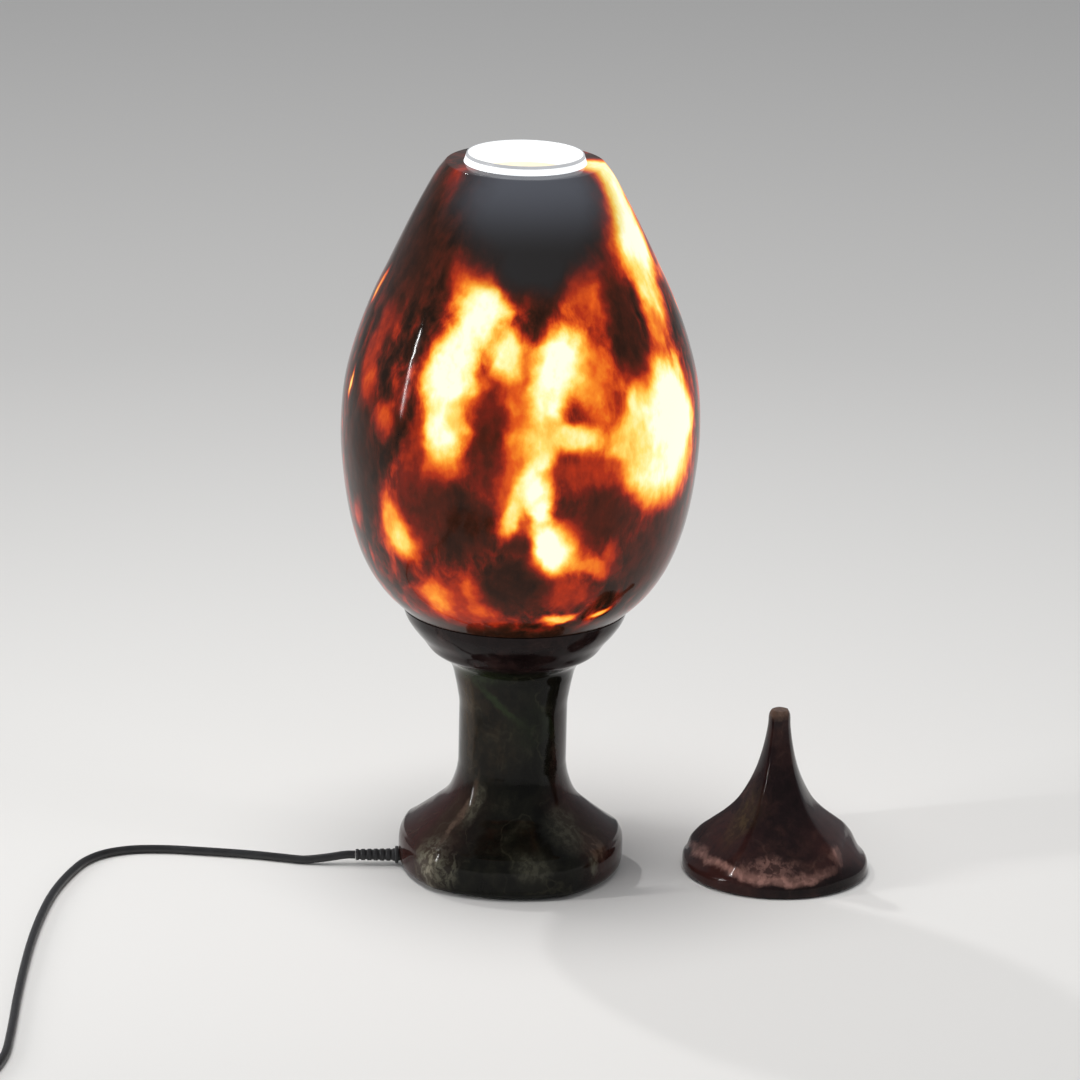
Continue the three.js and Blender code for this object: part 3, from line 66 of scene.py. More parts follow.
Point = Sequence[float]
Pair = tuple[float, float]
Triple = tuple[float, float, float]
Quad = tuple[float, float, float, float]
Piece = bpy.types.Object
Mesh = bpy.types.Mesh
Node = bpy.types.Node
Tree = bpy.types.NodeTree
Socket = bpy.types.NodeSocket
LOG = logging.getLogger("lamp")
FINISH_SUFFIX = "_finish"


class Body(Enum):
    """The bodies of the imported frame."""

    LAMP = "lamp_body"
    CAP = "cap"
    BULB = "bulb"
    ROCKER = "switch_rocker"


# Outlines and routes


def smooth_path(points: Sequence[Point], step: float) -> np.ndarray:
    """A smooth line through points, sampled evenly, that stays inside the box round them.

    Args:
        points: Points in two or three dimensions.
        step: Distance between samples.

    Returns:
        The samples, with the first and last point kept.
    """
    known = np.asarray(points, float)
    gaps = np.sqrt(np.linalg.norm(np.diff(known, axis=0), axis=1))
    slopes = np.diff(known, axis=0) / gaps[:, None]
    inner = (slopes[:-1] * gaps[1:, None] + slopes[1:] * gaps[:-1, None]) / (gaps[:-1] + gaps[1:])[:, None]
    tangents = np.vstack([slopes[:1], inner, slopes[-1:]])
    t = np.linspace(0, 1, SPLINE_STEPS + 1)[1:, None]
    dense = [known[:1]]
    for start, end, m0, m1, gap in zip(known[:-1], known[1:], tangents[:-1], tangents[1:], gaps):
        dense.append(
            (2 * t**3 - 3 * t**2 + 1) * start
            + (t**3 - 2 * t**2 + t) * m0 * gap
            + (3 * t**2 - 2 * t**3) * end
            + (t**3 - t**2) * m1 * gap
        )
    line = np.clip(np.vstack(dense), known.min(axis=0), known.max(axis=0))
    lengths = np.concatenate([[0], np.cumsum(np.linalg.norm(np.diff(line, axis=0), axis=1))])
    count = max(2, math.ceil(lengths[-1] / step) + 1)
    places = np.linspace(0, lengths[-1], count)
    return np.stack([np.interp(places, lengths, line[:, k]) for k in range(line.shape[1])], axis=1)


def between(
    shares: Sequence[Point], low_radius: float, high_radius: float, low: float, high: float
) -> list[Pair]:
    """Points of [radius, height] from shares of [height, radius] between two radii and two heights."""
    return [(low_radius + (high_radius - low_radius) * r, low + (high - low) * h) for h, r in shares]


def inset(outline: np.ndarray, distance: float) -> np.ndarray:
    """An outline of [radius, height] moved inwards, square to itself."""
    along = np.gradient(outline, axis=0)
    along /= np.linalg.norm(along, axis=1)[:, None]
    return outline + distance * np.stack([-along[:, 1], along[:, 0]], axis=1)


def rise(value: float, low: float, high: float) -> float:
    """A value that rises smoothly from 0 at low to 1 at high."""
    share = min(max((value - low) / (high - low), 0.0), 1.0)
    return share * share * (3 - 2 * share)


# Node trees


class NodeBuilder:
    """Adds and links nodes of a shader or geometry tree."""

    def __init__(self, tree: Tree) -> None:
        """Starts on a tree."""
        self.tree = tree

    def add(self, kind: str, inputs: dict[Any, Any] | None = None, **settings: Any) -> Node:
        """Adds a node.

        Args:
            kind: The node's type.
            inputs: Sockets to link or values to set, by the input's name or place.
            settings: The node's own settings.

        Returns:
            The node.
        """
        node = self.tree.nodes.new(kind)
        for name, value in settings.items():
            setattr(node, name, value)
        for key, value in (inputs or {}).items():
            if isinstance(value, Socket):
                self.tree.links.new(value, node.inputs[key])
            else:
                node.inputs[key].default_value = value
        return node

    def math(
        self, operation: str, first: Any, second: Any = 0.0, third: Any = 0.0, clamp: bool = False
    ) -> Socket:
        """The result of a Math node."""
        inputs = {0: first, 1: second, 2: third}
        return self.add("ShaderNodeMath", inputs, operation=operation, use_clamp=clamp).outputs[0]

    def vector(self, operation: str, first: Any, second: Any = None, scale: Any = None) -> Socket:
        """The result of a Vector Math node."""
        inputs = {0: first}
        if second is not None:
            inputs[1] = second
        if scale is not None:
            inputs["Scale"] = scale
        node = self.add("ShaderNodeVectorMath", inputs, operation=operation)
        return node.outputs["Value" if operation in ("LENGTH", "DOT_PRODUCT") else "Vector"]

    def blend(self, share: Any, low: Any, high: Any) -> Socket:
        """A number between two others."""
        return self.add("ShaderNodeMix", {0: share, 2: low, 3: high}, data_type="FLOAT").outputs[0]

    def tint(self, share: Any, low: Any, high: Any) -> Socket:
        """A colour between two others, which are sockets or red, green and blue."""
        low, high = (colour if isinstance(colour, Socket) else (*colour, 1.0) for colour in (low, high))
        return self.add("ShaderNodeMix", {0: share, 6: low, 7: high}, data_type="RGBA").outputs[2]

    def mottled(
        self, value: Socket, low: float, high: float, colour: Point, scale: float, lift: float = 0.0
    ) -> Socket:
        """A colour that turns into a scaled copy of itself where a value rises from low to high."""
        other = [min(1.0, scale * channel + lift) for channel in colour]
        return self.tint(self.span(value, low, high), colour, other)

    def span(self, value: Any, low: float, high: float, to_low: float = 0.0, to_high: float = 1.0) -> Socket:
        """A value mapped smoothly from one range to another."""
        inputs = {"Value": value, "From Min": low, "From Max": high, "To Min": to_low, "To Max": to_high}
        return self.add("ShaderNodeMapRange", inputs, interpolation_type="SMOOTHSTEP").outputs["Result"]

    def noise(
        self, place: Socket, size: float, detail: float = 3.0, roughness: float = 0.5, output: str = "Fac"
    ) -> Socket:
        """Noise whose features have a size in millimetres."""
        inputs = {"Vector": place, "Scale": 1 / size, "Detail": detail, "Roughness": roughness}
        return self.add("ShaderNodeTexNoise", inputs).outputs[output]

    def ramp(self, value: Socket, stops: Sequence[tuple[float, Sequence[float]]]) -> Socket:
        """A colour from a ramp.

        Args:
            value: The place on the ramp.
            stops: Places and linear colours.

        Returns:
            The colour's socket.
        """
        node = self.add("ShaderNodeValToRGB", {0: value})
        elements = node.color_ramp.elements
        while len(elements) < len(stops):
            elements.new(1.0)
        for element, (place, _) in zip(elements, stops):
            element.position = place
        for element, (place, colour) in zip(elements, stops):
            element.position, element.color = place, (*colour, 1.0)
        return node.outputs["Color"]

    def place(self) -> Socket:
        """The place on the object in millimetres."""
        return self.vector("SCALE", self.add("ShaderNodeTexCoord").outputs["Object"], scale=1 / MM)

    def drawn_out(self, place: Socket, share: float) -> Socket:
        """A place whose height counts for a share, so that noise there stands tall."""
        return self.vector("MULTIPLY", place, (1.0, 1.0, share))

    def stirred(self, place: Socket, amount: float, size: float, detail: float = 2.0) -> Socket:
        """A place moved about by noise."""
        swirl = self.vector("SUBTRACT", self.noise(place, size, detail, output="Color"), (0.5, 0.5, 0.5))
        return self.vector("ADD", place, self.vector("SCALE", swirl, scale=2 * amount))


# Finishes


@dataclass(frozen=True)
class Mark:
    """A soft patch on a turned stone.

    Attributes:
        azimuth: Degrees from the front, towards the right.
        height: Height of its middle.
        radius: The stone's radius there.
        width: Half its width.
        tall: Half its height.
        lean: Degrees that its top leans to the right.
        level: The level that it paints.
        softness: Share of its size over which it fades.
    """

    azimuth: float
    height: float
    radius: float
    width: float
    tall: float
    lean: float = 0.0
    level: float = 1.0
    softness: float = 0.5

    def weight(self, nodes: NodeBuilder, place: Socket, centre: Point = (0.0, 0.0)) -> Socket:
        """How much of the patch a place gets.

        Args:
            nodes: The builder of the material's tree.
            place: The place in millimetres.
            centre: The stone's axis.

        Returns:
            A socket from 0 to 1.
        """
        turn = math.radians(self.azimuth)
        middle = (
            centre[0] + self.radius * math.sin(turn),
            centre[1] - self.radius * math.cos(turn),
            self.height,
        )
        inputs = {
            "Vector": place,
            "Location": middle,
            "Rotation": (0.0, math.radians(self.lean), turn),
            "Scale": (self.width, 60.0, self.tall),
        }
        local = nodes.add("ShaderNodeMapping", inputs, vector_type="TEXTURE").outputs[0]
        distance = nodes.vector("LENGTH", local)
        return nodes.span(distance, 1 + self.softness, 1 - self.softness)


class Finish:
    """A finish that becomes one material, made once."""

    name: str

    def dress(self, nodes: NodeBuilder, shader: Node) -> None:
        """Links the shader's inputs; each finish has its own."""
        raise NotImplementedError

    def material(self) -> bpy.types.Material:
        """The finish's material, made at the first call."""
        label = self.name + FINISH_SUFFIX
        found = bpy.data.materials.get(label)
        if found:
            return found
        made = bpy.data.materials.new(label)
        made.use_nodes = True
        made.node_tree.nodes.clear()
        nodes = NodeBuilder(made.node_tree)
        shader = nodes.add("ShaderNodeBsdfPrincipled")
        nodes.add("ShaderNodeOutputMaterial", {"Surface": shader.outputs[0]})
        self.dress(nodes, shader)
        return made


def wire(nodes: NodeBuilder, shader: Node, **inputs: Any) -> None:
    """Sets or links a shader's inputs, whose names are written with underscores."""
    for key, value in inputs.items():
        socket = shader.inputs[key.replace("_", " ")]
        if isinstance(value, Socket):
            nodes.tree.links.new(value, socket)
        else:
            socket.default_value = value


def bump(nodes: NodeBuilder, height: Socket, depth: float) -> Socket:
    """A normal bumped by a height of a depth in millimetres."""
    inputs = {"Height": height, "Distance": depth * MM, "Strength": 1.0}
    return nodes.add("ShaderNodeBump", inputs).outputs["Normal"]


@dataclass(frozen=True)
class Patch:
    """A patch of colour on polished marble.

    Attributes:
        mark: Where it lies, and how strong it is.
        colour: Its colour.
        broken: How far the stone's streaks break it up.
    """

    mark: Mark
    colour: Triple
    broken: float = 0.6


@dataclass(frozen=True)
class PolishedMarble(Finish):
    """Polished marble with clouds, streaks, thin veins, crystals and placed patches.

    Attributes:
        name: The material's name.
        stops: Ramp from the darkest to the lightest cloud.
        vein: Colour of the veins.
        patches: The placed patches.
        centre: The stone's axis.
        vein_strength: How clearly the veins show.
        cloud_size: Size of the clouds.
        gloss: Strength of the reflections.
    """

    name: str
    stops: tuple[tuple[float, Triple], ...]
    vein: Triple
    patches: tuple[Patch, ...] = ()
    centre: Pair = (0.0, 0.0)
    vein_strength: float = 0.12
    cloud_size: float = 26.0
    gloss: float = 0.15

    def dress(self, nodes: NodeBuilder, shader: Node) -> None:
        """Links the marble's colour, roughness and bump."""
        place = nodes.place()
        stirred = nodes.stirred(place, 9.0, 34.0, 3.0)
        clouds = nodes.noise(stirred, self.cloud_size, 8.0, 0.64)
        long = nodes.drawn_out(stirred, 0.3)
        streaks = nodes.noise(long, 8.0, 6.0, 0.6)
        tone = nodes.blend(0.4, clouds, streaks)
        grain = nodes.noise(place, 0.8, 2.0, 0.6)
        tone = nodes.math("ADD", tone, nodes.math("MULTIPLY_ADD", grain, 0.07, -0.035))
        colour = nodes.ramp(tone, self.stops)
        ragged = nodes.stirred(nodes.stirred(place, 4.0, 13.0, 3.0), 1.6, 3.6, 3.0)
        flecks = nodes.noise(nodes.drawn_out(ragged, 0.6), 4.2, 4.0, 0.6)
        for patch in self.patches:
            held = nodes.span(flecks, 0.42, 0.6, 1.0 - patch.broken, 1.0)
            share = nodes.math("MULTIPLY", patch.mark.weight(nodes, ragged, self.centre), patch.mark.level)
            colour = nodes.tint(nodes.math("MULTIPLY", share, held), colour, patch.colour)
        branching = nodes.noise(nodes.stirred(place, 8.0, 17.0, 4.0), 44.0, 3.0, 0.5)
        ridge = nodes.math("ABSOLUTE", nodes.math("SUBTRACT", branching, 0.5))
        thin = nodes.math("MULTIPLY", nodes.span(ridge, 0.016, 0.0), self.vein_strength)
        thin = nodes.math("MULTIPLY", thin, nodes.span(clouds, 0.42, 0.62))
        colour = nodes.tint(thin, colour, self.vein)
        waves = nodes.noise(place, 16.0, 2.0, 0.4)
        pits = nodes.noise(place, 1.6, 3.0, 0.6)
        height = nodes.math("MULTIPLY_ADD", pits, 0.05, waves)
        wire(
            nodes,
            shader,
            Base_Color=colour,
            Roughness=nodes.span(clouds, 0.3, 0.75, 0.07, 0.17),
            Specular_IOR_Level=self.gloss,
            Normal=bump(nodes, height, 0.3),
        )


@dataclass(frozen=True)
class LitMarble(Finish):
    """Thin polished marble that a lamp shines through, in placed and in random patches.

    Attributes:
        name: The material's name.
        marks: The placed patches, each painted over the ones before it.
        slate: Patches of plain grey stone.
        foot: Heights between which the light comes up from the seat.
        brow: Heights between which painted glare from the mouth's light makes the grey stone glow paler and
            bluer.
        strength: Strength of the light.
    """

    name: str
    marks: tuple[Mark, ...]
    slate: tuple[Mark, ...]
    foot: Pair = (167.0, 180.0)
    brow: Pair = (400.0, 441.0)
    strength: float = 1.0

    GLOW = (
        (0.0, (0.010, 0.004, 0.002)),
        (0.1, (0.026, 0.007, 0.003)),
        (0.2, (0.060, 0.009, 0.0035)),
        (0.32, (0.16, 0.010, 0.004)),
        (0.44, (0.42, 0.024, 0.004)),
        (0.55, (0.74, 0.09, 0.006)),
        (0.65, (0.93, 0.24, 0.014)),
        (0.74, (1.0, 0.47, 0.045)),
        (0.83, (1.0, 0.73, 0.15)),
        (0.92, (1.0, 0.93, 0.42)),
        (1.0, (1.0, 1.0, 0.8)),
    )
    BODY = (
        (0.0, (0.006, 0.003, 0.002)),
        (0.3, (0.024, 0.006, 0.004)),
        (0.7, (0.055, 0.02, 0.008)),
        (1.0, (0.09, 0.06, 0.03)),
    )
    # Faint grey glow of the grey stone, rising to pale blue near the mouth: painted glare from the mouth's
    # light
    GREY = ((0.013, 0.0115, 0.010), (0.075, 0.08, 0.095))
    GREY_BODY = (0.012, 0.012, 0.014)

    def dress(self, nodes: NodeBuilder, shader: Node) -> None:
        """Links the stone's light, colour, roughness and bump."""
        place = nodes.place()
        coarse = nodes.stirred(place, 6.0, 24.0, 2.0)
        ragged = nodes.stirred(coarse, 1.5, 6.0, 2.0)
        long = nodes.drawn_out(coarse, 0.42)
        streaks = nodes.noise(long, 10.0, 4.0, 0.58)
        clouds = nodes.noise(nodes.drawn_out(coarse, 0.55), 40.0, 4.0, 0.55)
        wild = nodes.span(clouds, 0.42, 0.66, 0.02, 1.08)
        quiet = nodes.span(streaks, 0.34, 0.72, 0.02, 0.36)
        parts = nodes.add("ShaderNodeSeparateXYZ", {0: place}).outputs
        level = nodes.blend(nodes.span(parts["Y"], 30.0, -12.0), wild, quiet)
        for mark in self.marks:
            level = nodes.blend(mark.weight(nodes, ragged), level, mark.level)
        slate = 0.0
        for mark in self.slate:
            slate = nodes.math("MAXIMUM", slate, mark.weight(nodes, ragged))
        level = nodes.blend(slate, level, 0.0)
        level = nodes.math("MULTIPLY", level, nodes.span(parts["Z"], *self.foot, 0.12, 1.0))
        fine = nodes.noise(nodes.drawn_out(place, 0.7), 6.0, 3.0, 0.55)
        level = nodes.math("MULTIPLY_ADD", nodes.math("SUBTRACT", fine, 0.5), 0.2, level)
        level = nodes.math("MULTIPLY_ADD", nodes.math("SUBTRACT", streaks, 0.5), 0.26, level, clamp=True)
        # The grey stone glows paler and bluer towards the mouth: painted glare
        brow = nodes.span(parts["Z"], *self.brow)
        grey = nodes.tint(brow, *self.GREY)
        glow = nodes.tint(slate, nodes.ramp(level, self.GLOW), grey)
        body = nodes.tint(slate, nodes.ramp(level, self.BODY), self.GREY_BODY)
        waves = nodes.noise(place, 18.0, 2.0, 0.4)
        wire(
            nodes,
            shader,
            Base_Color=body,
            Roughness=nodes.span(streaks, 0.3, 0.75, 0.07, 0.16),
            Specular_IOR_Level=0.12,
            Emission_Color=glow,
            Emission_Strength=self.strength,
            Normal=bump(nodes, waves, 0.3),
        )


@dataclass(frozen=True)
class GlowingStone(Finish):
    """The shade's inner wall and its thin collar, lit nearly white.

    Attributes:
        name: The material's name.
        tone: Colour of the light.
        strength: Strength of the light.
        body: Share of the light's colour that the stone has unlit.
    """

    name: str
    tone: Triple
    strength: float
    body: float = 0.35

    def dress(self, nodes: NodeBuilder, shader: Node) -> None:
        """Links the light, with faint clouds in it."""
        place = nodes.place()
        clouds = nodes.noise(nodes.stirred(place, 8.0, 24.0), 20.0, 4.0, 0.6)
        glow = nodes.mottled(clouds, 0.35, 0.7, self.tone, 0.86)
        wire(
            nodes,
            shader,
            Base_Color=nodes.vector("SCALE", glow, scale=self.body),
            Roughness=nodes.span(clouds, 0.3, 0.7, 0.3, 0.42),
            Emission_Color=glow,
            Emission_Strength=self.strength,
        )


@dataclass(frozen=True)
class Moulded(Finish):
    """Moulded plastic, rubber or porcelain, with a fine grain.

    Attributes:
        name: The material's name.
        colour: Base colour.
        roughness: Mean roughness.
        grain: Depth of the grain.
        grain_size: Size of the grain.
        glow: Strength of light, for a lit diffuser.
    """

    name: str
    colour: Triple
    roughness: float = 0.4
    grain: float = 0.02
    grain_size: float = 0.5
    glow: float = 0.0

    def dress(self, nodes: NodeBuilder, shader: Node) -> None:
        """Links the colour, roughness and grain."""
        place = nodes.place()
        wear = nodes.noise(place, 9.0, 4.0, 0.6)
        grain = nodes.noise(place, self.grain_size, 2.0, 0.5)
        colour = nodes.mottled(wear, 0.35, 0.7, self.colour, 1.25, 0.004)
        roughness = nodes.span(wear, 0.3, 0.7, self.roughness - 0.05, self.roughness + 0.07)
        wire(nodes, shader, Base_Color=colour, Roughness=roughness, Normal=bump(nodes, grain, self.grain))
        if self.glow:
            wire(nodes, shader, Emission_Color=colour, Emission_Strength=self.glow)


@dataclass(frozen=True)
class Metal(Finish):
    """Plated or turned metal with fine tool marks.

    Attributes:
        name: The material's name.
        colour: Base colour.
        roughness: Mean roughness.
        stretch: How the tool marks run, as a share of each axis.
    """

    name: str
    colour: Triple
    roughness: float = 0.28
    stretch: Triple = (0.3, 0.3, 4.0)

    def dress(self, nodes: NodeBuilder, shader: Node) -> None:
        """Links the colour, roughness and tool marks."""
        place = nodes.place()
        marks = nodes.noise(nodes.vector("MULTIPLY", place, self.stretch), 1.2, 3.0, 0.6)
        tarnish = nodes.noise(place, 6.0, 4.0, 0.6)
        colour = nodes.mottled(tarnish, 0.45, 0.8, self.colour, 0.72)
        roughness = nodes.span(marks, 0.3, 0.7, self.roughness - 0.07, self.roughness + 0.09)
        normal = bump(nodes, marks, 0.02)
        wire(nodes, shader, Base_Color=colour, Metallic=1.0, Roughness=roughness, Normal=normal)


@dataclass(frozen=True)
class Felt(Finish):
    """Matted felt."""

    name: str = "felt"
    colour: Triple = (0.012, 0.024, 0.015)

    def dress(self, nodes: NodeBuilder, shader: Node) -> None:
        """Links the fibres' colour and bump."""
        place = nodes.place()
        fibres = nodes.noise(nodes.stirred(place, 2.0, 3.0), 0.8, 5.0, 0.75)
        colour = nodes.mottled(fibres, 0.35, 0.75, self.colour, 2.4)
        normal = bump(nodes, fibres, 0.4)
        wire(nodes, shader, Base_Color=colour, Roughness=0.95, Sheen_Weight=0.4, Normal=normal)


# Meshes


class ShapeTree(NodeBuilder):
    """A geometry tree with named inputs, which ends in plain geometry of one material."""

    KINDS = {int: "NodeSocketInt", float: "NodeSocketFloat"}

    def __init__(self, name: str, inputs: dict[str, Any]) -> None:
        """Starts the tree.

        Args:
            name: The tree's name.
            inputs: Names of its inputs, with their values; a material is added to them.
        """
        tree = bpy.data.node_groups.new(name, "GeometryNodeTree")
        tree.interface.new_socket("Geometry", in_out="OUTPUT", socket_type="NodeSocketGeometry")
        tree.interface.new_socket("Geometry", in_out="INPUT", socket_type="NodeSocketGeometry")
        for label, value in inputs.items():
            kind = self.KINDS[type(value)]
            tree.interface.new_socket(label, in_out="INPUT", socket_type=kind).default_value = value
        tree.interface.new_socket("Material", in_out="INPUT", socket_type="NodeSocketMaterial")
        super().__init__(tree)
        self.given = self.add("NodeGroupInput").outputs

    def sampled(self, index: Socket, value: Socket, kind: str = "FLOAT") -> Socket:
        """A value of the given geometry at an index."""
        inputs = {"Geometry": self.given["Geometry"], "Index": index, "Value": value}
        return self.add("GeometryNodeSampleIndex", inputs, data_type=kind).outputs[0]

    def close(self, geometry: Socket) -> Tree:
        """Ends the tree with its finished geometry."""
        whole = self.add("GeometryNodeRealizeInstances", {"Geometry": geometry}).outputs[0]
        inputs = {"Geometry": whole, "Material": self.given["Material"]}
        painted = self.add("GeometryNodeSetMaterial", inputs).outputs[0]
        self.add("NodeGroupOutput", {0: painted})
        return self.tree


@cache
def lobed_turning() -> Tree:
    """The tree that turns an outline about Z, draws it in between soft ridges and cuts a thread.

    Returns:
        The tree, whose mesh input is the outline in the XZ plane, with a lobe_depth and a thread_depth on
        its points.
    """
    inputs = {"Segments": 96, "Lobes": LOBE_COUNT, "Turn": 0.0, "Edge Softness": 0.06}
    inputs["Thread Pitch"] = BULB_PITCH * MM
    tree = ShapeTree("lobed_turning", inputs)
    given = tree.given
    outline = {"Geometry": given["Geometry"]}
    rings = tree.add("GeometryNodeAttributeDomainSize", outline).outputs["Point Count"]
    columns = tree.math("ADD", given["Segments"], 1)
    grid = tree.add("GeometryNodeMeshGrid", {"Vertices X": columns, "Vertices Y": rings}).outputs["Mesh"]
    index = tree.add("GeometryNodeInputIndex").outputs[0]
    column = tree.math("FLOOR", tree.math("DIVIDE", tree.math("ADD", index, 0.5), rings))
    ring = tree.math("SUBTRACT", index, tree.math("MULTIPLY", column, rings))
    position = tree.add("GeometryNodeInputPosition").outputs[0]
    point = tree.sampled(ring, position, "FLOAT_VECTOR")
    named = [
        tree.add("GeometryNodeInputNamedAttribute", {"Name": label}, data_type="FLOAT")
        for label in ("lobe_depth", "thread_depth")
    ]
    depth, thread = (tree.sampled(ring, node.outputs["Attribute"]) for node in named)
    turn = tree.math("DIVIDE", tree.math("MULTIPLY", column, 2 * math.pi), given["Segments"])
    half = tree.math("DIVIDE", math.pi, given["Lobes"])
    past = tree.math("SUBTRACT", tree.math("SUBTRACT", turn, math.pi), given["Turn"])
    off_ridge = tree.math("PINGPONG", past, half)
    square = tree.math("MULTIPLY", given["Edge Softness"], given["Edge Softness"])
    softened = tree.math("SQRT", tree.math("MULTIPLY_ADD", off_ridge, off_ridge, square))
    side = tree.math("COSINE", tree.math("SUBTRACT", half, softened))
    drawn_in = tree.math("SUBTRACT", 1.0, tree.math("DIVIDE", tree.math("COSINE", half), side))
    scale = tree.math("SUBTRACT", 1.0, tree.math("MULTIPLY", depth, drawn_in))
    parts = tree.add("ShaderNodeSeparateXYZ", {0: point}).outputs
    climbed = tree.math("DIVIDE", tree.math("MULTIPLY", parts["Z"], 2 * math.pi), given["Thread Pitch"])
    wave = tree.math("COSINE", tree.math("SUBTRACT", climbed, turn))
    groove = tree.math("MULTIPLY", thread, tree.math("MULTIPLY_ADD", wave, -0.5, 0.5))
    radius = tree.math("SUBTRACT", tree.math("MULTIPLY", parts["X"], scale), groove)
    place = tree.add(
        "ShaderNodeCombineXYZ",
        {
            "X": tree.math("MULTIPLY", radius, tree.math("SINE", turn)),
            "Y": tree.math("MULTIPLY", radius, tree.math("MULTIPLY", tree.math("COSINE", turn), -1.0)),
            "Z": parts["Z"],
        },
    ).outputs[0]
    turned = tree.add("GeometryNodeSetPosition", {"Geometry": grid, "Position": place}).outputs[0]
    merged = tree.add("GeometryNodeMergeByDistance", {"Geometry": turned, "Distance": WELD}).outputs[0]
    return tree.close(tree.add("GeometryNodeSetShadeSmooth", {"Geometry": merged}).outputs[0])


@cache
def swept_tube() -> Tree:
    """The tree that draws a round tube along a line of edges, with inputs Radius and Sides."""
    tree = ShapeTree("swept_tube", {"Radius": 0.0025, "Sides": 24})
    given = tree.given
    curve = tree.add("GeometryNodeMeshToCurve", {"Mesh": given["Geometry"]}).outputs[0]
    section = {"Resolution": given["Sides"], "Radius": given["Radius"]}
    circle = tree.add("GeometryNodeCurvePrimitiveCircle", section).outputs[0]
    inputs = {"Curve": curve, "Profile Curve": circle, "Fill Caps": True}
    swept = tree.add("GeometryNodeCurveToMesh", inputs).outputs[0]
    return tree.close(tree.add("GeometryNodeSetShadeSmooth", {"Geometry": swept}).outputs[0])


@cache
def row_of_copies() -> Tree:
    """The tree that repeats a mesh along a row, with inputs Count, Step X, Step Y and Step Z."""
    tree = ShapeTree("row_of_copies", {"Count": 2, "Step X": 0.0, "Step Y": 0.0, "Step Z": 0.0})
    given = tree.given
    step = tree.add("ShaderNodeCombineXYZ", {axis: given[f"Step {axis}"] for axis in "XYZ"}).outputs[0]
    inputs = {"Count": given["Count"], "Offset": step}
    line = tree.add("GeometryNodeMeshLine", inputs, mode="OFFSET").outputs[0]
    inputs = {"Points": line, "Instance": given["Geometry"]}
    return tree.close(tree.add("GeometryNodeInstanceOnPoints", inputs).outputs[0])


def line_mesh(name: str, points: np.ndarray, **values: Sequence[float]) -> Mesh:
    """A mesh of edges through points.

    Args:
        name: The mesh's name.
        points: Points in millimetres.
        values: Attributes, with a number for each point.

    Returns:
        The mesh, in metres.
    """
    mesh = bpy.data.meshes.new(name)
    places = [tuple(MM * value for value in point) for point in points]
    mesh.from_pydata(places, [(k, k + 1) for k in range(len(points) - 1)], [])
    for label, numbers in values.items():
        mesh.attributes.new(label, "FLOAT", "POINT").data.foreach_set("value", np.asarray(numbers, float))
    return mesh


def linked(name: str, data: Any) -> Piece:
    """A new object in the scene."""
    made = bpy.data.objects.new(name, data)
    bpy.context.scene.collection.objects.link(made)
    return made


def apply_modifiers(obj: Piece) -> None:
    """Gives an object the mesh that its modifiers make, and takes them off."""
    depsgraph = bpy.context.evaluated_depsgraph_get()
    plain = bpy.data.meshes.new_from_object(obj.evaluated_get(depsgraph), depsgraph=depsgraph)
    obj.modifiers.clear()
    obj.data = plain


def shaped(
    name: str, tree: Tree, mesh: Mesh, finish: Finish, settings: dict[str, Any]
) -> Piece:
    """An object whose mesh is the result of a geometry tree.

    Args:
        name: The object's name.
        tree: The tree.
        mesh: The mesh that the tree starts from.
        finish: The finish of the result.
        settings: Values for the tree's named inputs.

    Returns:
        The object, with a plain mesh.
    """
    made = linked(name, mesh)
    modifier = made.modifiers.new("shape", "NODES")
    modifier.node_group = tree
    keys = {
        item.name: item.identifier
        for item in tree.interface.items_tree
        if item.item_type == "SOCKET" and item.in_out == "INPUT"
    }
    for label, value in {**settings, "Material": finish.material()}.items():
        modifier[keys[label]] = value
    apply_modifiers(made)
    made.data.name = name
    outwards(made)
    return made


def outwards(obj: Piece, sharp: float = 38.0) -> None:
    """Merges doubles, turns faces outwards and marks edges sharper than an angle in degrees."""
    work = bmesh.new()
    work.from_mesh(obj.data)
    bmesh.ops.remove_doubles(work, verts=work.verts, dist=WELD)
    bmesh.ops.recalc_face_normals(work, faces=work.faces)
    for face in work.faces:
        face.smooth = True
    work.to_mesh(obj.data)
    work.free()
    obj.data.set_sharp_from_angle(angle=math.radians(sharp))


def filleted(corners: Sequence[Point]) -> np.ndarray:
    """A closed outline with rounded corners.

    Args:
        corners: Points of [radius, height] or [radius, height, fillet].

    Returns:
        Points of [radius, height].
    """
    points: list[np.ndarray] = []
    count = len(corners)
    for k, corner in enumerate(corners):
        here = np.array(corner[:2], float)
        fillet = corner[2] if len(corner) > 2 else 0.0
        if fillet <= 0:
            points.append(here)
            continue
        ways = [np.array(corners[(k + step) % count][:2], float) - here for step in (-1, 1)]
        lengths = [np.linalg.norm(way) for way in ways]
        reach = min(fillet, *(0.48 * length for length in lengths))
        start, end = (here + way / length * reach for way, length in zip(ways, lengths))
        for t in (0.0, 0.25, 0.5, 0.75, 1.0):
            points.append((1 - t) ** 2 * start + 2 * t * (1 - t) * here + t * t * end)
    return np.array(points)


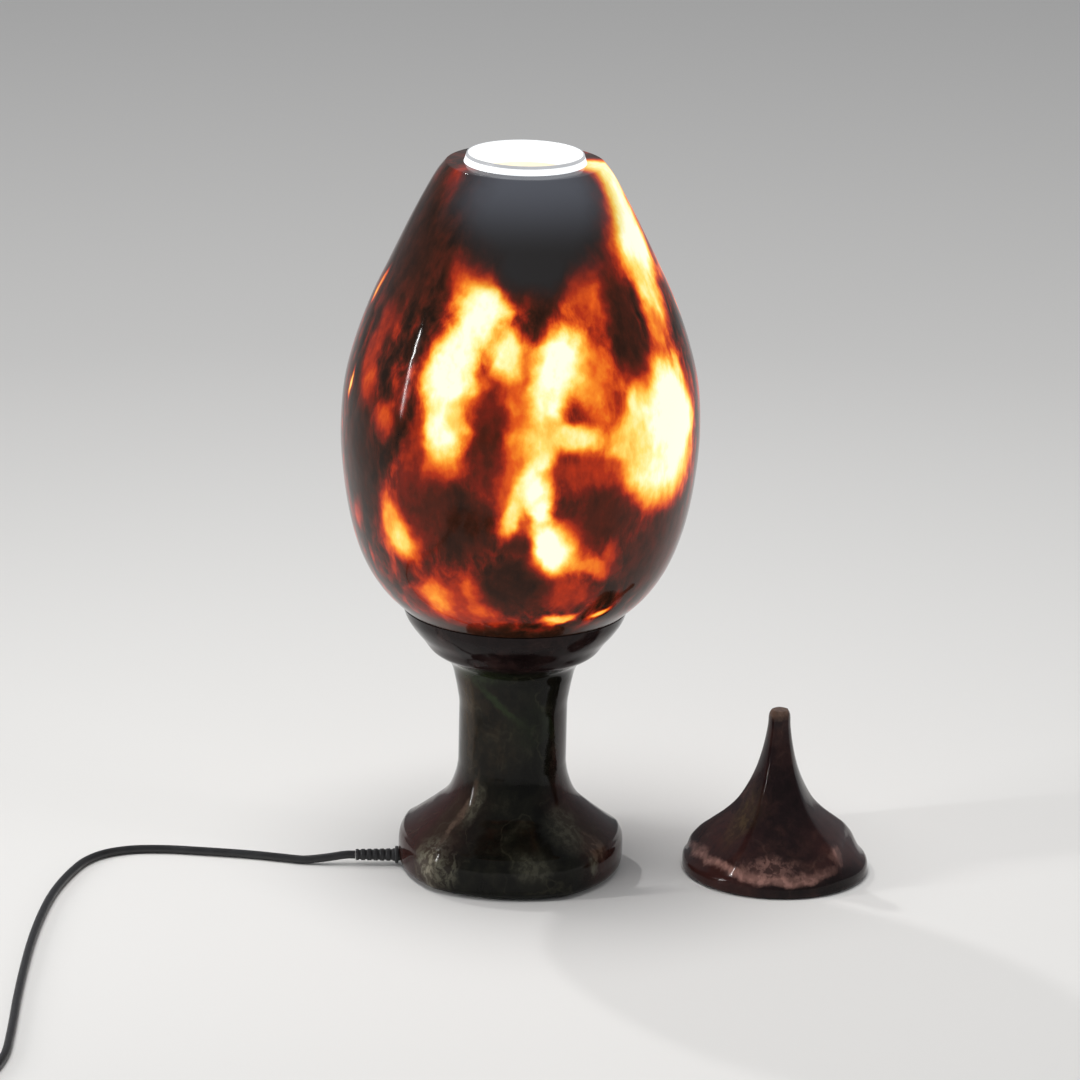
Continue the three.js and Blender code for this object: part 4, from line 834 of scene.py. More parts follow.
def turned(
    name: str,
    outline: Sequence[Point],
    finish: Finish,
    segments: int = 64,
    lobe_depth: Callable[[float, float], float] | None = None,
    turn: float = 0.0,
    softness: float = 0.06,
    place: Matrix | None = None,
    lobes: int = LOBE_COUNT,
    thread: Callable[[float, float], float] | None = None,
    pitch: float = BULB_PITCH,
) -> Piece:
    """A turned piece.

    Args:
        name: The piece's name.
        outline: A closed outline of [radius, height] in millimetres.
        finish: The piece's finish.
        segments: Steps round the axis.
        lobe_depth: Depth of the lobes at a radius and height.
        turn: Turn of the lobes in radians.
        softness: How soft their ridges are.
        place: Where the piece goes, in metres.
        lobes: How many lobes it has.
        thread: Depth of the thread at a radius and height, in millimetres.
        pitch: Pitch of the thread.

    Returns:
        The piece.
    """
    ring = np.vstack([outline, outline[:1]])
    points = np.stack([ring[:, 0], np.zeros(len(ring)), ring[:, 1]], axis=1)
    depths = [lobe_depth(r, z) if lobe_depth else 0.0 for r, z in ring]
    threads = [MM * thread(r, z) if thread else 0.0 for r, z in ring]
    mesh = line_mesh(name, points, lobe_depth=depths, thread_depth=threads)
    settings = {"Segments": segments, "Turn": turn, "Edge Softness": softness, "Lobes": lobes}
    settings["Thread Pitch"] = pitch * MM
    made = shaped(name, lobed_turning(), mesh, finish, settings)
    if place is not None:
        made.data.transform(place)
    return made


def tube(name: str, line: np.ndarray, radius: float, sides: int, finish: Finish) -> Piece:
    """A round tube along a line, both in millimetres."""
    settings = {"Radius": radius * MM, "Sides": sides}
    return shaped(name, swept_tube(), line_mesh(name, line), finish, settings)


def at(x: float = 0.0, y: float = 0.0, z: float = 0.0) -> Matrix:
    """A place in millimetres."""
    return Matrix.Translation((MM * x, MM * y, MM * z))


def lying(x: float, y: float, z: float, turn: float = 0.0) -> Matrix:
    """A place in millimetres where a piece lies level, at a turn about Z in degrees from X."""
    return at(x, y, z) @ Matrix.Rotation(math.radians(turn), 4, "Z") @ Matrix.Rotation(math.pi / 2, 4, "Y")


def carve(obj: Piece, *cutters: Piece, operation: str = "DIFFERENCE") -> None:
    """Cuts or joins pieces into another, and removes them."""
    for cutter in cutters:
        modifier = obj.modifiers.new("carve", "BOOLEAN")
        modifier.object, modifier.operation, modifier.solver = cutter, operation, "EXACT"
        apply_modifiers(obj)
        bpy.data.objects.remove(cutter)
    outwards(obj)


def refined(
    name: str, node: str, finish: Finish, width: float = 0.5, steps: int = 3, sharp: float = 32.0
) -> Piece:
    """A copy of a node's shape with rounded edges.

    Args:
        name: The piece's name.
        node: The node that it copies.
        finish: The piece's finish.
        width: Width of the rounding in millimetres.
        steps: Steps of the rounding.
        sharp: Edges that turn more than this many degrees are rounded.

    Returns:
        The piece.
    """
    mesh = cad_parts[node].data.copy()
    mesh.materials.clear()
    mesh.materials.append(finish.material())
    made = linked(name, mesh)
    work = bmesh.new()
    work.from_mesh(mesh)
    bmesh.ops.remove_doubles(work, verts=work.verts, dist=WELD)
    bmesh.ops.dissolve_limit(work, angle_limit=math.radians(1.0), verts=work.verts, edges=work.edges)
    turn = math.radians(sharp)
    edges = [edge for edge in work.edges if len(edge.link_faces) == 2 and edge.calc_face_angle() > turn]
    bmesh.ops.bevel(
        work, geom=edges, offset=width * MM, offset_type="OFFSET", segments=steps, profile=0.5,
        affect="EDGES", clamp_overlap=True,
    )
    bmesh.ops.triangulate(work, faces=[face for face in work.faces if len(face.verts) > 4])
    work.to_mesh(mesh)
    work.free()
    outwards(made)
    return made


def loft(name: str, rings: Sequence[Sequence[Point]], finish: Finish) -> Piece:
    """A closed piece through rings that have the same number of points.

    Args:
        name: The piece's name.
        rings: Rings of points in millimetres.
        finish: The piece's finish.

    Returns:
        The piece.
    """
    count = len(rings[0])
    points = [tuple(MM * value for value in point) for ring in rings for point in ring]
    faces: list[Sequence[int]] = []
    for k in range(len(rings) - 1):
        for n in range(count):
            a, b = k * count + n, k * count + (n + 1) % count
            faces.append((a, b, b + count, a + count))
    faces.append(tuple(range(count)))
    faces.append(tuple(range((len(rings) - 1) * count, len(rings) * count)))
    mesh = bpy.data.meshes.new(name)
    mesh.from_pydata(points, [], faces)
    mesh.materials.append(finish.material())
    made = linked(name, mesh)
    outwards(made)
    return made


def rounded_ring(width: float, length: float, corner: float, height: float) -> list[Point]:
    """A rectangle with round corners, level at a height."""
    points: list[Point] = []
    for k, (sx, sy) in enumerate(((1, 1), (-1, 1), (-1, -1), (1, -1))):
        for step in range(CORNER_STEPS + 1):
            turn = math.pi / 2 * (k + step / CORNER_STEPS)
            x = sx * (width / 2 - corner) + corner * math.cos(turn)
            y = sy * (length / 2 - corner) + corner * math.sin(turn)
            points.append((x, y, height))
    return points


def ring_groove(radius: float, middle: float, depth: float) -> list[Point]:
    """Outline points of one groove round a flexible tail, with fillets."""
    return [
        (radius, middle - 0.9, 0.2), (radius - depth, middle - 0.5, 0.2), (radius - depth, middle + 0.5, 0.2),
        (radius, middle + 0.9, 0.2),
    ]


def slab(
    name: str, size: Point, corner: float, finish: Finish, levels: Sequence[Point], middle: Point = (0.0, 0.0)
) -> Piece:
    """A level slab with round corners.

    Args:
        name: The piece's name.
        size: Width along X and length along Y.
        corner: Radius of its corners.
        finish: Its finish.
        levels: Heights, each with how far the slab is drawn in there.
        middle: Its middle.

    Returns:
        The slab.
    """
    rings = []
    for height, drawn in levels:
        width, length = (value - 2 * drawn for value in size)
        ring = rounded_ring(width, length, max(corner - drawn, 0.2), height)
        rings.append([(x + middle[0], y + middle[1], z) for x, y, z in ring])
    return loft(name, rings, finish)


def row(obj: Piece, finish: Finish, count: int, step: Point) -> Piece:
    """A piece repeated along a row, in one mesh in place of the first.

    Args:
        obj: The first piece.
        finish: The finish of the row.
        count: How many there are.
        step: The way from one to the next, in millimetres.

    Returns:
        The row.
    """
    settings = {"Count": count, **{f"Step {axis}": MM * value for axis, value in zip("XYZ", step)}}
    name = obj.name
    obj.name = f"{name}_one"
    made = shaped(name, row_of_copies(), obj.data.copy(), finish, settings)
    bpy.data.objects.remove(obj)
    return made


def rod(
    name: str, radius: float, start: Point, way: Point, finish: Finish, segments: int = 32, crown: float = 0.0
) -> Piece:
    """A straight round rod.

    Args:
        name: The piece's name.
        radius: Its radius.
        start: One end, in millimetres.
        way: The way to its other end.
        finish: Its finish.
        segments: Steps round it.
        crown: How far its edges are rounded.

    Returns:
        The rod.
    """
    length = Vector(way).length
    outline = filleted([(AXIS, 0), (radius, 0, crown), (radius, length, crown), (AXIS, length)])
    turn = Vector(way).to_track_quat("Z", "Y").to_matrix().to_4x4()
    return turned(name, outline, finish, segments, place=at(*start) @ turn)


def slotted_screw(name: str, head: Point, shank: Point, pitch: float, finish: Finish) -> Piece:
    """A screw with its slotted head down at the origin.

    Args:
        name: The piece's name.
        head: The head's radius and height.
        shank: The shank's radius and length.
        pitch: Pitch of its thread.
        finish: Its finish.

    Returns:
        The screw.
    """
    end = head[1] + shank[1]
    climb = [(shank[0], z) for z in np.arange(head[1] + pitch, end - pitch / 2, pitch / THREAD_STEPS)]
    outline = filleted(
        [(AXIS, 0), (head[0], 0, head[1] / 3), (head[0], head[1], 0.1), (shank[0], head[1]), *climb,
         (shank[0], end - 0.3), (0.7 * shank[0], end), (AXIS, end)]
    )
    depth = SCREW_DEPTH_SHARE * pitch

    def thread(radius: float, z: float) -> float:
        return depth if radius > 0.9 * shank[0] and head[1] + 0.9 * pitch < z < end - pitch / 2 else 0.0

    screw = turned(name, outline, finish, 36, thread=thread, pitch=pitch)
    slot = slab(f"{name}_slot", (0.3 * head[0], 3 * head[0]), 0.05, finish, ((-1, 0), (0.45 * head[1], 0)))
    carve(screw, slot)
    return screw


def repaint(obj: Piece, finish: Finish, inside: Callable[[Vector], bool]) -> None:
    """Gives the faces that a test of their middle picks another finish."""
    obj.data.materials.append(finish.material())
    slot = len(obj.data.materials) - 1
    for face in obj.data.polygons:
        if inside(face.center / MM):
            face.material_index = slot


def settle(obj: Piece, *nodes: str, body: Body = Body.LAMP) -> Piece:
    """Puts a piece on its body in place of its nodes, and reports it."""
    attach(obj, body.value)
    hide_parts(*nodes)
    LOG.info("%s rides on %s with %d faces", obj.name, body.value, len(obj.data.polygons))
    return obj


def on_axis(
    name: str, node: str, outline: Sequence[Point], finish: Finish, segments: int, z: float,
    body: Body = Body.LAMP, **more: Any,
) -> Piece:
    """A turned piece on the lamp's axis, settled in place of a node.

    Args:
        name: The piece's name.
        node: The node that it replaces.
        outline: Its closed outline.
        finish: Its finish.
        segments: Steps round the axis.
        z: Height of the outline's foot.
        body: The body that it rides on.
        more: Lobes or a thread, as for turned.

    Returns:
        The piece.
    """
    return settle(turned(name, outline, finish, segments, place=at(z=z), **more), node, body=body)


# Finishes of this lamp


@dataclass(frozen=True)
class Finishes:
    """Every finish of the lamp."""

    rubber: Finish = Moulded("cord_rubber", (0.012, 0.012, 0.013), 0.42, 0.01, 0.6)
    switch: Finish = Moulded("switch_plastic", (0.016, 0.016, 0.017), 0.34, 0.015, 0.35)
    plug: Finish = Moulded("plug_plastic", (0.014, 0.014, 0.015), 0.38, 0.02, 0.4)
    tie: Finish = Moulded("tie_plastic", (0.02, 0.02, 0.02), 0.45, 0.01, 0.4)
    phenolic: Finish = Moulded("phenolic", (0.018, 0.013, 0.011), 0.24, 0.008, 0.8)
    porcelain: Finish = Moulded("porcelain", (0.78, 0.76, 0.7), 0.2, 0.01, 2.0)
    bulb: Finish = Moulded("bulb_plastic", (0.82, 0.82, 0.8), 0.36, 0.01, 0.6)
    diffuser: Finish = Moulded("diffuser", (0.88, 0.9, 0.92), 0.4, 0.008, 0.6, 0.8)
    light_board: Finish = Moulded("light_board", (0.8, 0.8, 0.78), 0.4, 0.01, 0.8)
    circuit_board: Finish = Moulded("circuit_board", (0.02, 0.13, 0.05), 0.4, 0.02, 1.2)
    live: Finish = Moulded("live_core", (0.16, 0.06, 0.025), 0.4, 0.01, 0.6)
    neutral: Finish = Moulded("neutral_core", (0.03, 0.1, 0.35), 0.4, 0.01, 0.6)
    steel: Finish = Metal("steel", (0.56, 0.56, 0.55), 0.32)
    brass: Finish = Metal("brass", (0.72, 0.52, 0.22), 0.26)
    nickel: Finish = Metal("nickel", (0.68, 0.66, 0.62), 0.22)
    felt: Finish = Felt()


FINISHES = Finishes()


# Studio


@dataclass(frozen=True)
class AreaLight:
    """A soft area light.

    Attributes:
        name: Its name.
        place: Where it stands.
        target: Where it points.
        size: Its width and height.
        power: Its power in watts.
        spread: Its spread in degrees.
        mirrored: Whether the polished stone mirrors it.
    """

    name: str
    place: Triple
    target: Triple
    size: Pair
    power: float
    spread: float = 180.0
    mirrored: bool = False

    def build(self) -> None:
        """Makes the light."""
        data = bpy.data.lights.new(self.name, "AREA")
        data.shape, data.size, data.size_y, data.energy = "RECTANGLE", *self.size, self.power
        data.spread = math.radians(self.spread)
        made = linked(self.name, data)
        made.location = self.place
        made.visible_glossy = self.mirrored
        made.rotation_mode = "QUATERNION"
        made.rotation_quaternion = (Vector(self.target) - Vector(self.place)).to_track_quat("-Z", "Y")


@dataclass(frozen=True)
class Studio:
    """Camera, floor and soft lights."""

    aim: Triple = (0.014, 0.0, 0.2075)
    distance: float = 3.6
    elevation: float = 17.0
    roll: float = 1.4
    lens: float = 200.0
    sensor: float = 36.0
    clip: Pair = (0.05, 60.0)
    floor_half: float = 9.0
    floor_colour: Quad = (0.74, 0.73, 0.71, 1.0)
    floor_roughness: float = 0.7
    sky_colour: Quad = (0.86, 0.88, 0.92, 1.0)
    sky_strength: float = 0.32
    lights: tuple[AreaLight, ...] = (
        AreaLight("overhead", (-0.3, -0.2, 3.0), (0, 0, 0), (1.6, 1.6), 62),
        AreaLight("left_strip", (-1.9, -0.62, 0.7), (0.06, 0, 0.1), (0.03, 0.8), 1.5, 50, True),
        AreaLight("right_strip", (1.85, -0.7, 0.8), (0, 0, 0.28), (0.16, 1.2), 5),
        AreaLight("window", (-1.25, 1.35, 2.2), (0.08, 0, 0.04), (0.12, 0.12), 1.0, 50, True),
    )

    def camera(self) -> None:
        """Makes the camera at the photograph's angle."""
        tilt, roll = math.radians(self.elevation), math.radians(self.roll)
        ahead = Vector((0, math.cos(tilt), -math.sin(tilt)))
        level, upright = Vector((1, 0, 0)), Vector((0, math.sin(tilt), math.cos(tilt)))
        right = level * math.cos(roll) + upright * math.sin(roll)
        up = upright * math.cos(roll) - level * math.sin(roll)
        data = bpy.data.cameras.new("camera")
        data.lens, data.sensor_width = self.lens, self.sensor
        data.clip_start, data.clip_end = self.clip
        made = linked("camera", data)
        turn = Matrix((right, up, -ahead)).transposed().to_4x4()
        made.matrix_world = Matrix.Translation(Vector(self.aim) - self.distance * ahead) @ turn
        bpy.context.scene.camera = made

    def floor(self) -> None:
        """Makes the pale, plain floor."""
        half = self.floor_half
        corners = [(-half, -half, 0), (half, -half, 0), (half, half, 0), (-half, half, 0)]
        mesh = bpy.data.meshes.new("floor")
        mesh.from_pydata(corners, [], [(0, 1, 2, 3)])
        material = bpy.data.materials.new("floor")
        material.use_nodes = True
        shader = material.node_tree.nodes["Principled BSDF"]
        shader.inputs["Base Color"].default_value = self.floor_colour
        shader.inputs["Roughness"].default_value = self.floor_roughness
        mesh.materials.append(material)
        linked("floor", mesh)

    def build(self) -> None:
        """Makes the world light and everything in the studio."""
        world = bpy.data.worlds.new("studio")
        world.use_nodes = True
        backdrop = world.node_tree.nodes["Background"]
        backdrop.inputs["Color"].default_value = self.sky_colour
        backdrop.inputs["Strength"].default_value = self.sky_strength
        bpy.context.scene.world = world
        bpy.context.scene.view_settings.view_transform = "Standard"
        self.camera()
        self.floor()
        for light in self.lights:
            light.build()


# Cord


@dataclass(frozen=True)
class Cord:
    """Mains cord with its bush, switch, coil, tie and plug."""

    radius: float = 2.5
    exit_turn: float = EXIT_TURN
    exit_height: float = EXIT_HEIGHT
    foot_side: float = 67.44
    flange: float = 2.0
    tail: float = 24.0
    bore: float = CORD_BORE
    landing: float = 17.5
    lie: float = 2.6
    coil_lie: float = 3.7
    coil_centre: Pair = (-215.0, -459.0)
    coil_radius: float = 37.0
    pitch: float = 5.6
    turns: int = 6
    switch_centre: Pair = SWITCH_CENTRE
    switch_half: float = 30.0
    switch_lie: float = SWITCH_LIE
    switch_sink: float = 3.0
    plug_start: float = PLUG_START
    plug_half: float = PLUG_HALF
    tie_start: float = 21.5
    jacket_end: float = 32.7
    core_radius: float = 0.95
    core_spread: float = 1.35
    core_climb: tuple[Pair, ...] = (
        (0.95, 10.5), (0, 18.5), (0, 70.15), (0, 162.4), (0, 169.45),
    )
    core_top: tuple[Pair, ...] = ((0.5, 173.85), (1, 176.35), (1, 177.3))
    terminal_spread: float = 9.5
    route: tuple[Pair, ...] = (
        (-126, -7.2), (-138, -4.5), (-157.6, -0.2), (-188.1, 3.8), (-212, 5.6), (-232, 3), (-247, -5.5),
        (-257, -19), (-263, -35.5), (-268, -55), (-272.3, -79), (-275.5, -111), (-277.6, -152),
        (-278.2, -200), (-277.8, -248), (-276.6, -301), (-276.8, -332), (-279.8, -352), (-285.2, -370),
        (-290, -386),
    )

    @property
    def tip(self) -> float:
        """How far from the lamp's axis the bush ends."""
        return self.foot_side + GAP + self.flange + self.tail

    def along(self, distance: float, height: float) -> Triple:
        """A point on the cord's way out of the foot."""
        turn = math.radians(self.exit_turn)
        return distance * math.cos(turn), distance * math.sin(turn), height

    def lamp_side(self) -> np.ndarray:
        """The line from the bush to the switch."""
        x, y = self.switch_centre
        start = self.tip + GAP
        points = [
            self.along(start, self.exit_height),
            self.along(start + 2 * self.radius, self.exit_height),
            self.along(start + self.landing, (self.exit_height + self.lie) / 2),
            *[(px, py, self.lie) for px, py in self.route],
            (x, y + self.switch_half + 2 * self.radius, self.switch_lie),
            (x, y + self.switch_half - self.switch_sink, self.switch_lie),
        ]
        return smooth_path(points, 4.0)

    def coil(self) -> list[Triple]:
        """The coil's line, which spirals in, climbs and spirals out."""
        steps, middle, ramp = 40, self.turns / 2, 0.25
        points = []
        for k in range(self.turns * steps + 1):
            t = k / steps
            off = abs(t - middle)
            away = off if off > ramp else (ramp + off * off / ramp) / 2
            radius = self.coil_radius - self.pitch * (middle - away)
            angle = 2 * math.pi * t - math.pi / 2
            x, y = self.coil_centre
            height = self.coil_lie + self.pitch * rise(t, middle - ramp, middle + ramp)
            points.append((x + radius * math.cos(angle), y + radius * math.sin(angle), height))
        return points

    def plug_side(self) -> np.ndarray:
        """The line from the switch through the coil to the plug."""
        x, y = self.switch_centre
        south, start = y - self.switch_half, self.coil_centre[0] - 2 * self.radius - GAP
        line = self.coil_centre[1] - self.coil_radius
        shares = ((0.035, 0.4), (0.13, 0.72), (0.3, 0.94), (0.55, 1.0))
        way = [
            (x, south + self.switch_sink, self.switch_lie),
            (x, south - 2 * self.radius, self.switch_lie),
            *[(x + (start - x) * u, south + (line - south) * v, self.coil_lie) for u, v in shares],
            (start, line, self.coil_lie),
        ]
        wound = self.coil()
        top, leave = self.coil_lie + self.pitch, self.coil_centre[0] + 2 * self.radius + GAP
        end = [
            (leave, line, top),
            (leave + 6, line, top),
            (self.plug_start - GAP - 2 * self.radius, line, self.plug_half),
            (self.plug_start - GAP, line, self.plug_half),
        ]
        before, after = smooth_path([*way, wound[0]], 3.0), smooth_path([wound[-1], *end], 3.0)
        return np.vstack([before[:-1], wound[:-1], after])

    def lead(self, name: str, line: np.ndarray, nodes: Sequence[str], **facts: Any) -> Piece:
        """Makes one stretch of cord.

        Args:
            name: The piece's name.
            line: The points that it follows, in millimetres.
            nodes: The frame's nodes that it stands for.

        Returns:
            The cord.
        """
        made = settle(tube(name, line, self.radius, 24, FINISHES.rubber), *nodes)
        return made

    def bush(self) -> Piece:
        """Makes the bush with its flange and ringed taper."""
        neck, inside, rim, root, end = 3.7, 8.0, 5.3, 3.9, 3.4
        face = self.foot_side + GAP
        base = face + self.flange
        outline: list[Point] = [
            (self.bore, face - inside), (neck, face - inside, 0.4), (neck, face), (rim, face, 0.4),
            (rim, base, 0.7), (root, base, 0.5),
        ]
        rings, first, last = 6, base + 2.2, self.tip - 2.6
        for k in range(rings):
            middle = first + (last - first) * k / (rings - 1)
            radius = root + (end - root) * (middle - base) / self.tail
            outline += ring_groove(radius, middle, 0.55)
        outline += [(end, self.tip, 0.5), (self.bore, self.tip)]
        lie = lying(0, 0, self.exit_height, self.exit_turn)
        made = turned("cord_bush_ringed", filleted(outline), FINISHES.rubber, 48, place=lie)
        return settle(made, "cord_bush")

    def jacket(self) -> Piece:
        """Makes the stretch of cord inside the bush and the foot."""
        start = Vector(self.along(self.jacket_end, self.exit_height))
        way = Vector(self.along(self.tip, self.exit_height)) - start
        made = rod("cord_inside_bush", self.radius, start, way, FINISHES.rubber, 24, 0.4)
        return settle(made, "lead_jacket")

    def cores(self) -> None:
        """Makes the two cores from the jacket's end up the tube to the terminals."""
        turn = math.radians(self.exit_turn)
        start = self.jacket_end - GAP
        for side, node, finish in ((1, "core_live", FINISHES.live), (-1, "core_neutral", FINISHES.neutral)):
            near, far = side * self.core_spread, side * self.terminal_spread
            way = [(share * start, near, self.exit_height) for share in (1, 0.6, 0.25)]
            way += [(u, near, z) for u, z in self.core_climb]
            way += [(0, share * far, z) for share, z in self.core_top]
            line = [
                (u * math.cos(turn) - v * math.sin(turn), u * math.sin(turn) + v * math.cos(turn), z)
                for u, v, z in way
            ]
            settle(tube(f"{node}_run", smooth_path(line, 1.5), self.core_radius, 14, finish), node)

    def tie(self) -> Piece:
        """Makes the tie round the coil, with its ribbed band and its head."""
        made = refined("cord_tie_band", "cord_tie", FINISHES.tie, 0.2, 2)
        x, y = self.coil_centre
        levels = ((11.9, 0), (13.0, 0.1), (13.14, 0.25))
        rib = slab("tie_ribs", (2.4, 0.7), 0.2, FINISHES.tie, levels, (x, y + self.tie_start))
        carve(made, row(rib, FINISHES.tie, 10, (0, 1.5, 0)), operation="UNION")
        return settle(made, "cord_tie")

    def build(self, switch: Sequence[Piece], plug: Sequence[Piece]) -> None:
        """Makes every stretch of cord, with the bush, the jacket, the cores and the tie."""
        carried = [self.bush(), self.jacket(), *switch]
        self.cores()
        self.lead(
            "cord_to_switch", self.lamp_side(), ["cord_lamp_side"],
            far_end="fitting", lay="loose", with_pieces=carried,
        )
        self.lead(
            "cord_to_plug", self.plug_side(), ["cord_plug_side", "cord_coil", "cord_plug_end"],
            far_end="plug", lay="coiled", with_pieces=[self.tie(), *plug],
        )


# Switch and plug


@dataclass(frozen=True)
class Switch:
    """Rocker switch on the cord, screwed together from below."""

    centre: Pair = SWITCH_CENTRE
    size: Pair = (26.0, 60.0)
    corner: float = 7.0
    wall: float = 1.8
    base_top: float = 9.0
    top: float = 18.3
    cord_height: float = SWITCH_LIE
    pivot: float = 14.1
    window: Pair = (6.15, 12.32)
    cheek: Pair = (6.15, 7.75)
    screw: Pair = (9.1, 21.0)
    screw_head: Pair = (2.6, 1.2)
    screw_shank: Pair = (1.2, 14.5)
    screw_pitch: float = 0.8
    screw_z: float = 0.15
    boss: float = 2.7
    hole: float = 1.5
    sink: Pair = (2.9, 1.5)
    cord_bore: float = CORD_BORE
    pin_way: Pair = (1.6, 11.0)
    grooves: Pair = (16.2, 2.1)

    def posts(self, radius: float, low: float, high: float) -> list[Piece]:
        """A rod on the axis of each screw."""
        x, y = self.centre
        return [
            rod(f"post_{side}", radius, (x + side * self.screw[0], y + side * self.screw[1], low),
                (0, 0, high - low), FINISHES.switch)
            for side in (-1, 1)
        ]

    def cavity(self, low: float, high: float) -> Piece:
        """The hollow inside a shell."""
        size = tuple(value - 2 * self.wall for value in self.size)
        levels = ((low, 0), (high, 0))
        return slab("cavity", size, self.corner - self.wall, FINISHES.switch, levels, self.centre)

    def base(self) -> Piece:
        """Makes the lower shell, with its cord holes, bosses and screw holes."""
        x, y = self.centre
        reach = self.size[1] / 2 + 4
        levels = ((0, 1.1), (0.25, 0.5), (0.8, 0.12), (1.6, 0), (8.6, 0), (9, 0.25))
        made = slab("switch_lower_shell", self.size, self.corner, FINISHES.switch, levels, self.centre)
        carve(made, self.cavity(self.wall, self.base_top + 2))
        carve(made, *self.posts(self.boss, 0.6, self.base_top), operation="UNION")
        carve(
            made,
            rod("cord_way", self.cord_bore, (x, y - reach, self.cord_height), (0, 2 * reach, 0),
                FINISHES.switch),
            *self.posts(self.hole, -1, self.base_top + 1),
            *self.posts(self.sink[0], -1, self.sink[1]),
        )
        return settle(made, "switch_base")

    def cover(self) -> Piece:
        """Makes the domed upper shell, with its window, cheeks, posts and grip grooves."""
        x, y = self.centre
        low, top = self.base_top + GAP, self.top
        levels = ((low, 0.25), (low + 0.4, 0), (top - 3.4, 0), (top - 2.2, 0.3), (top - 1.2, 0.9),
                  (top - 0.4, 2), (top, 3.6))
        made = slab("switch_upper_shell", self.size, self.corner, FINISHES.switch, levels, self.centre)
        carve(made, self.cavity(low - 1, top - 2.4))
        cheeks = [
            slab("cheek", (self.cheek[1] - self.cheek[0], 7), 0.3, FINISHES.switch,
                 ((self.pivot - 3.5, 0), (top - 1.6, 0)), (x + side * sum(self.cheek) / 2, y))
            for side in (-1, 1)
        ]
        carve(made, *cheeks, *self.posts(self.boss, low, top - 1.8), operation="UNION")
        pin, reach = self.pin_way
        size = tuple(2 * half for half in self.window)
        bezel = tuple(value + 2.4 for value in size)
        grooves = []
        for side in (1, -1):
            start, step = (side * value for value in self.grooves)
            levels = ((top - 0.5, 0.2), (top + 1, 0))
            first = slab("groove", (15, 0.9), 0.4, FINISHES.switch, levels, (x, y + start))
            grooves.append(row(first, FINISHES.switch, 5, (0, step, 0)))
        carve(
            made,
            slab("window", size, 0.5, FINISHES.switch, ((low + 1, 0), (top + 2, 0)), self.centre),
            slab("bezel", bezel, 1.4, FINISHES.switch, ((top - 0.45, 0.3), (top + 1, -0.1)), self.centre),
            rod("pivot_way", pin, (x - reach, y, self.pivot), (2 * reach, 0, 0), FINISHES.switch),
            *self.posts(self.hole, low - 1, top - 2.4),
            *grooves,
        )
        return settle(made, "switch_cover")

    def build(self) -> list[Piece]:
        """Makes the switch's pieces."""
        x, y = self.centre
        key = refined("switch_rocker_key", "switch_rocker", FINISHES.switch, 0.45)
        settle(key, "switch_rocker", body=Body.ROCKER)
        screws = slotted_screw(
            "switch_screws", self.screw_head, self.screw_shank, self.screw_pitch, FINISHES.steel
        )
        screws.data.transform(at(x - self.screw[0], y - self.screw[1], self.screw_z))
        screws = row(screws, FINISHES.steel, 2, (2 * self.screw[0], 2 * self.screw[1], 0))
        settle(screws, "switch_screw_in", "switch_screw_out")
        blades = []
        for word in ("in", "out"):
            blade = refined(f"switch_blade_{word}", f"switch_contact_{word}", FINISHES.brass, 0.15, 2)
            blades.append(settle(blade, f"switch_contact_{word}"))
        return [self.base(), self.cover(), key, screws, *blades]


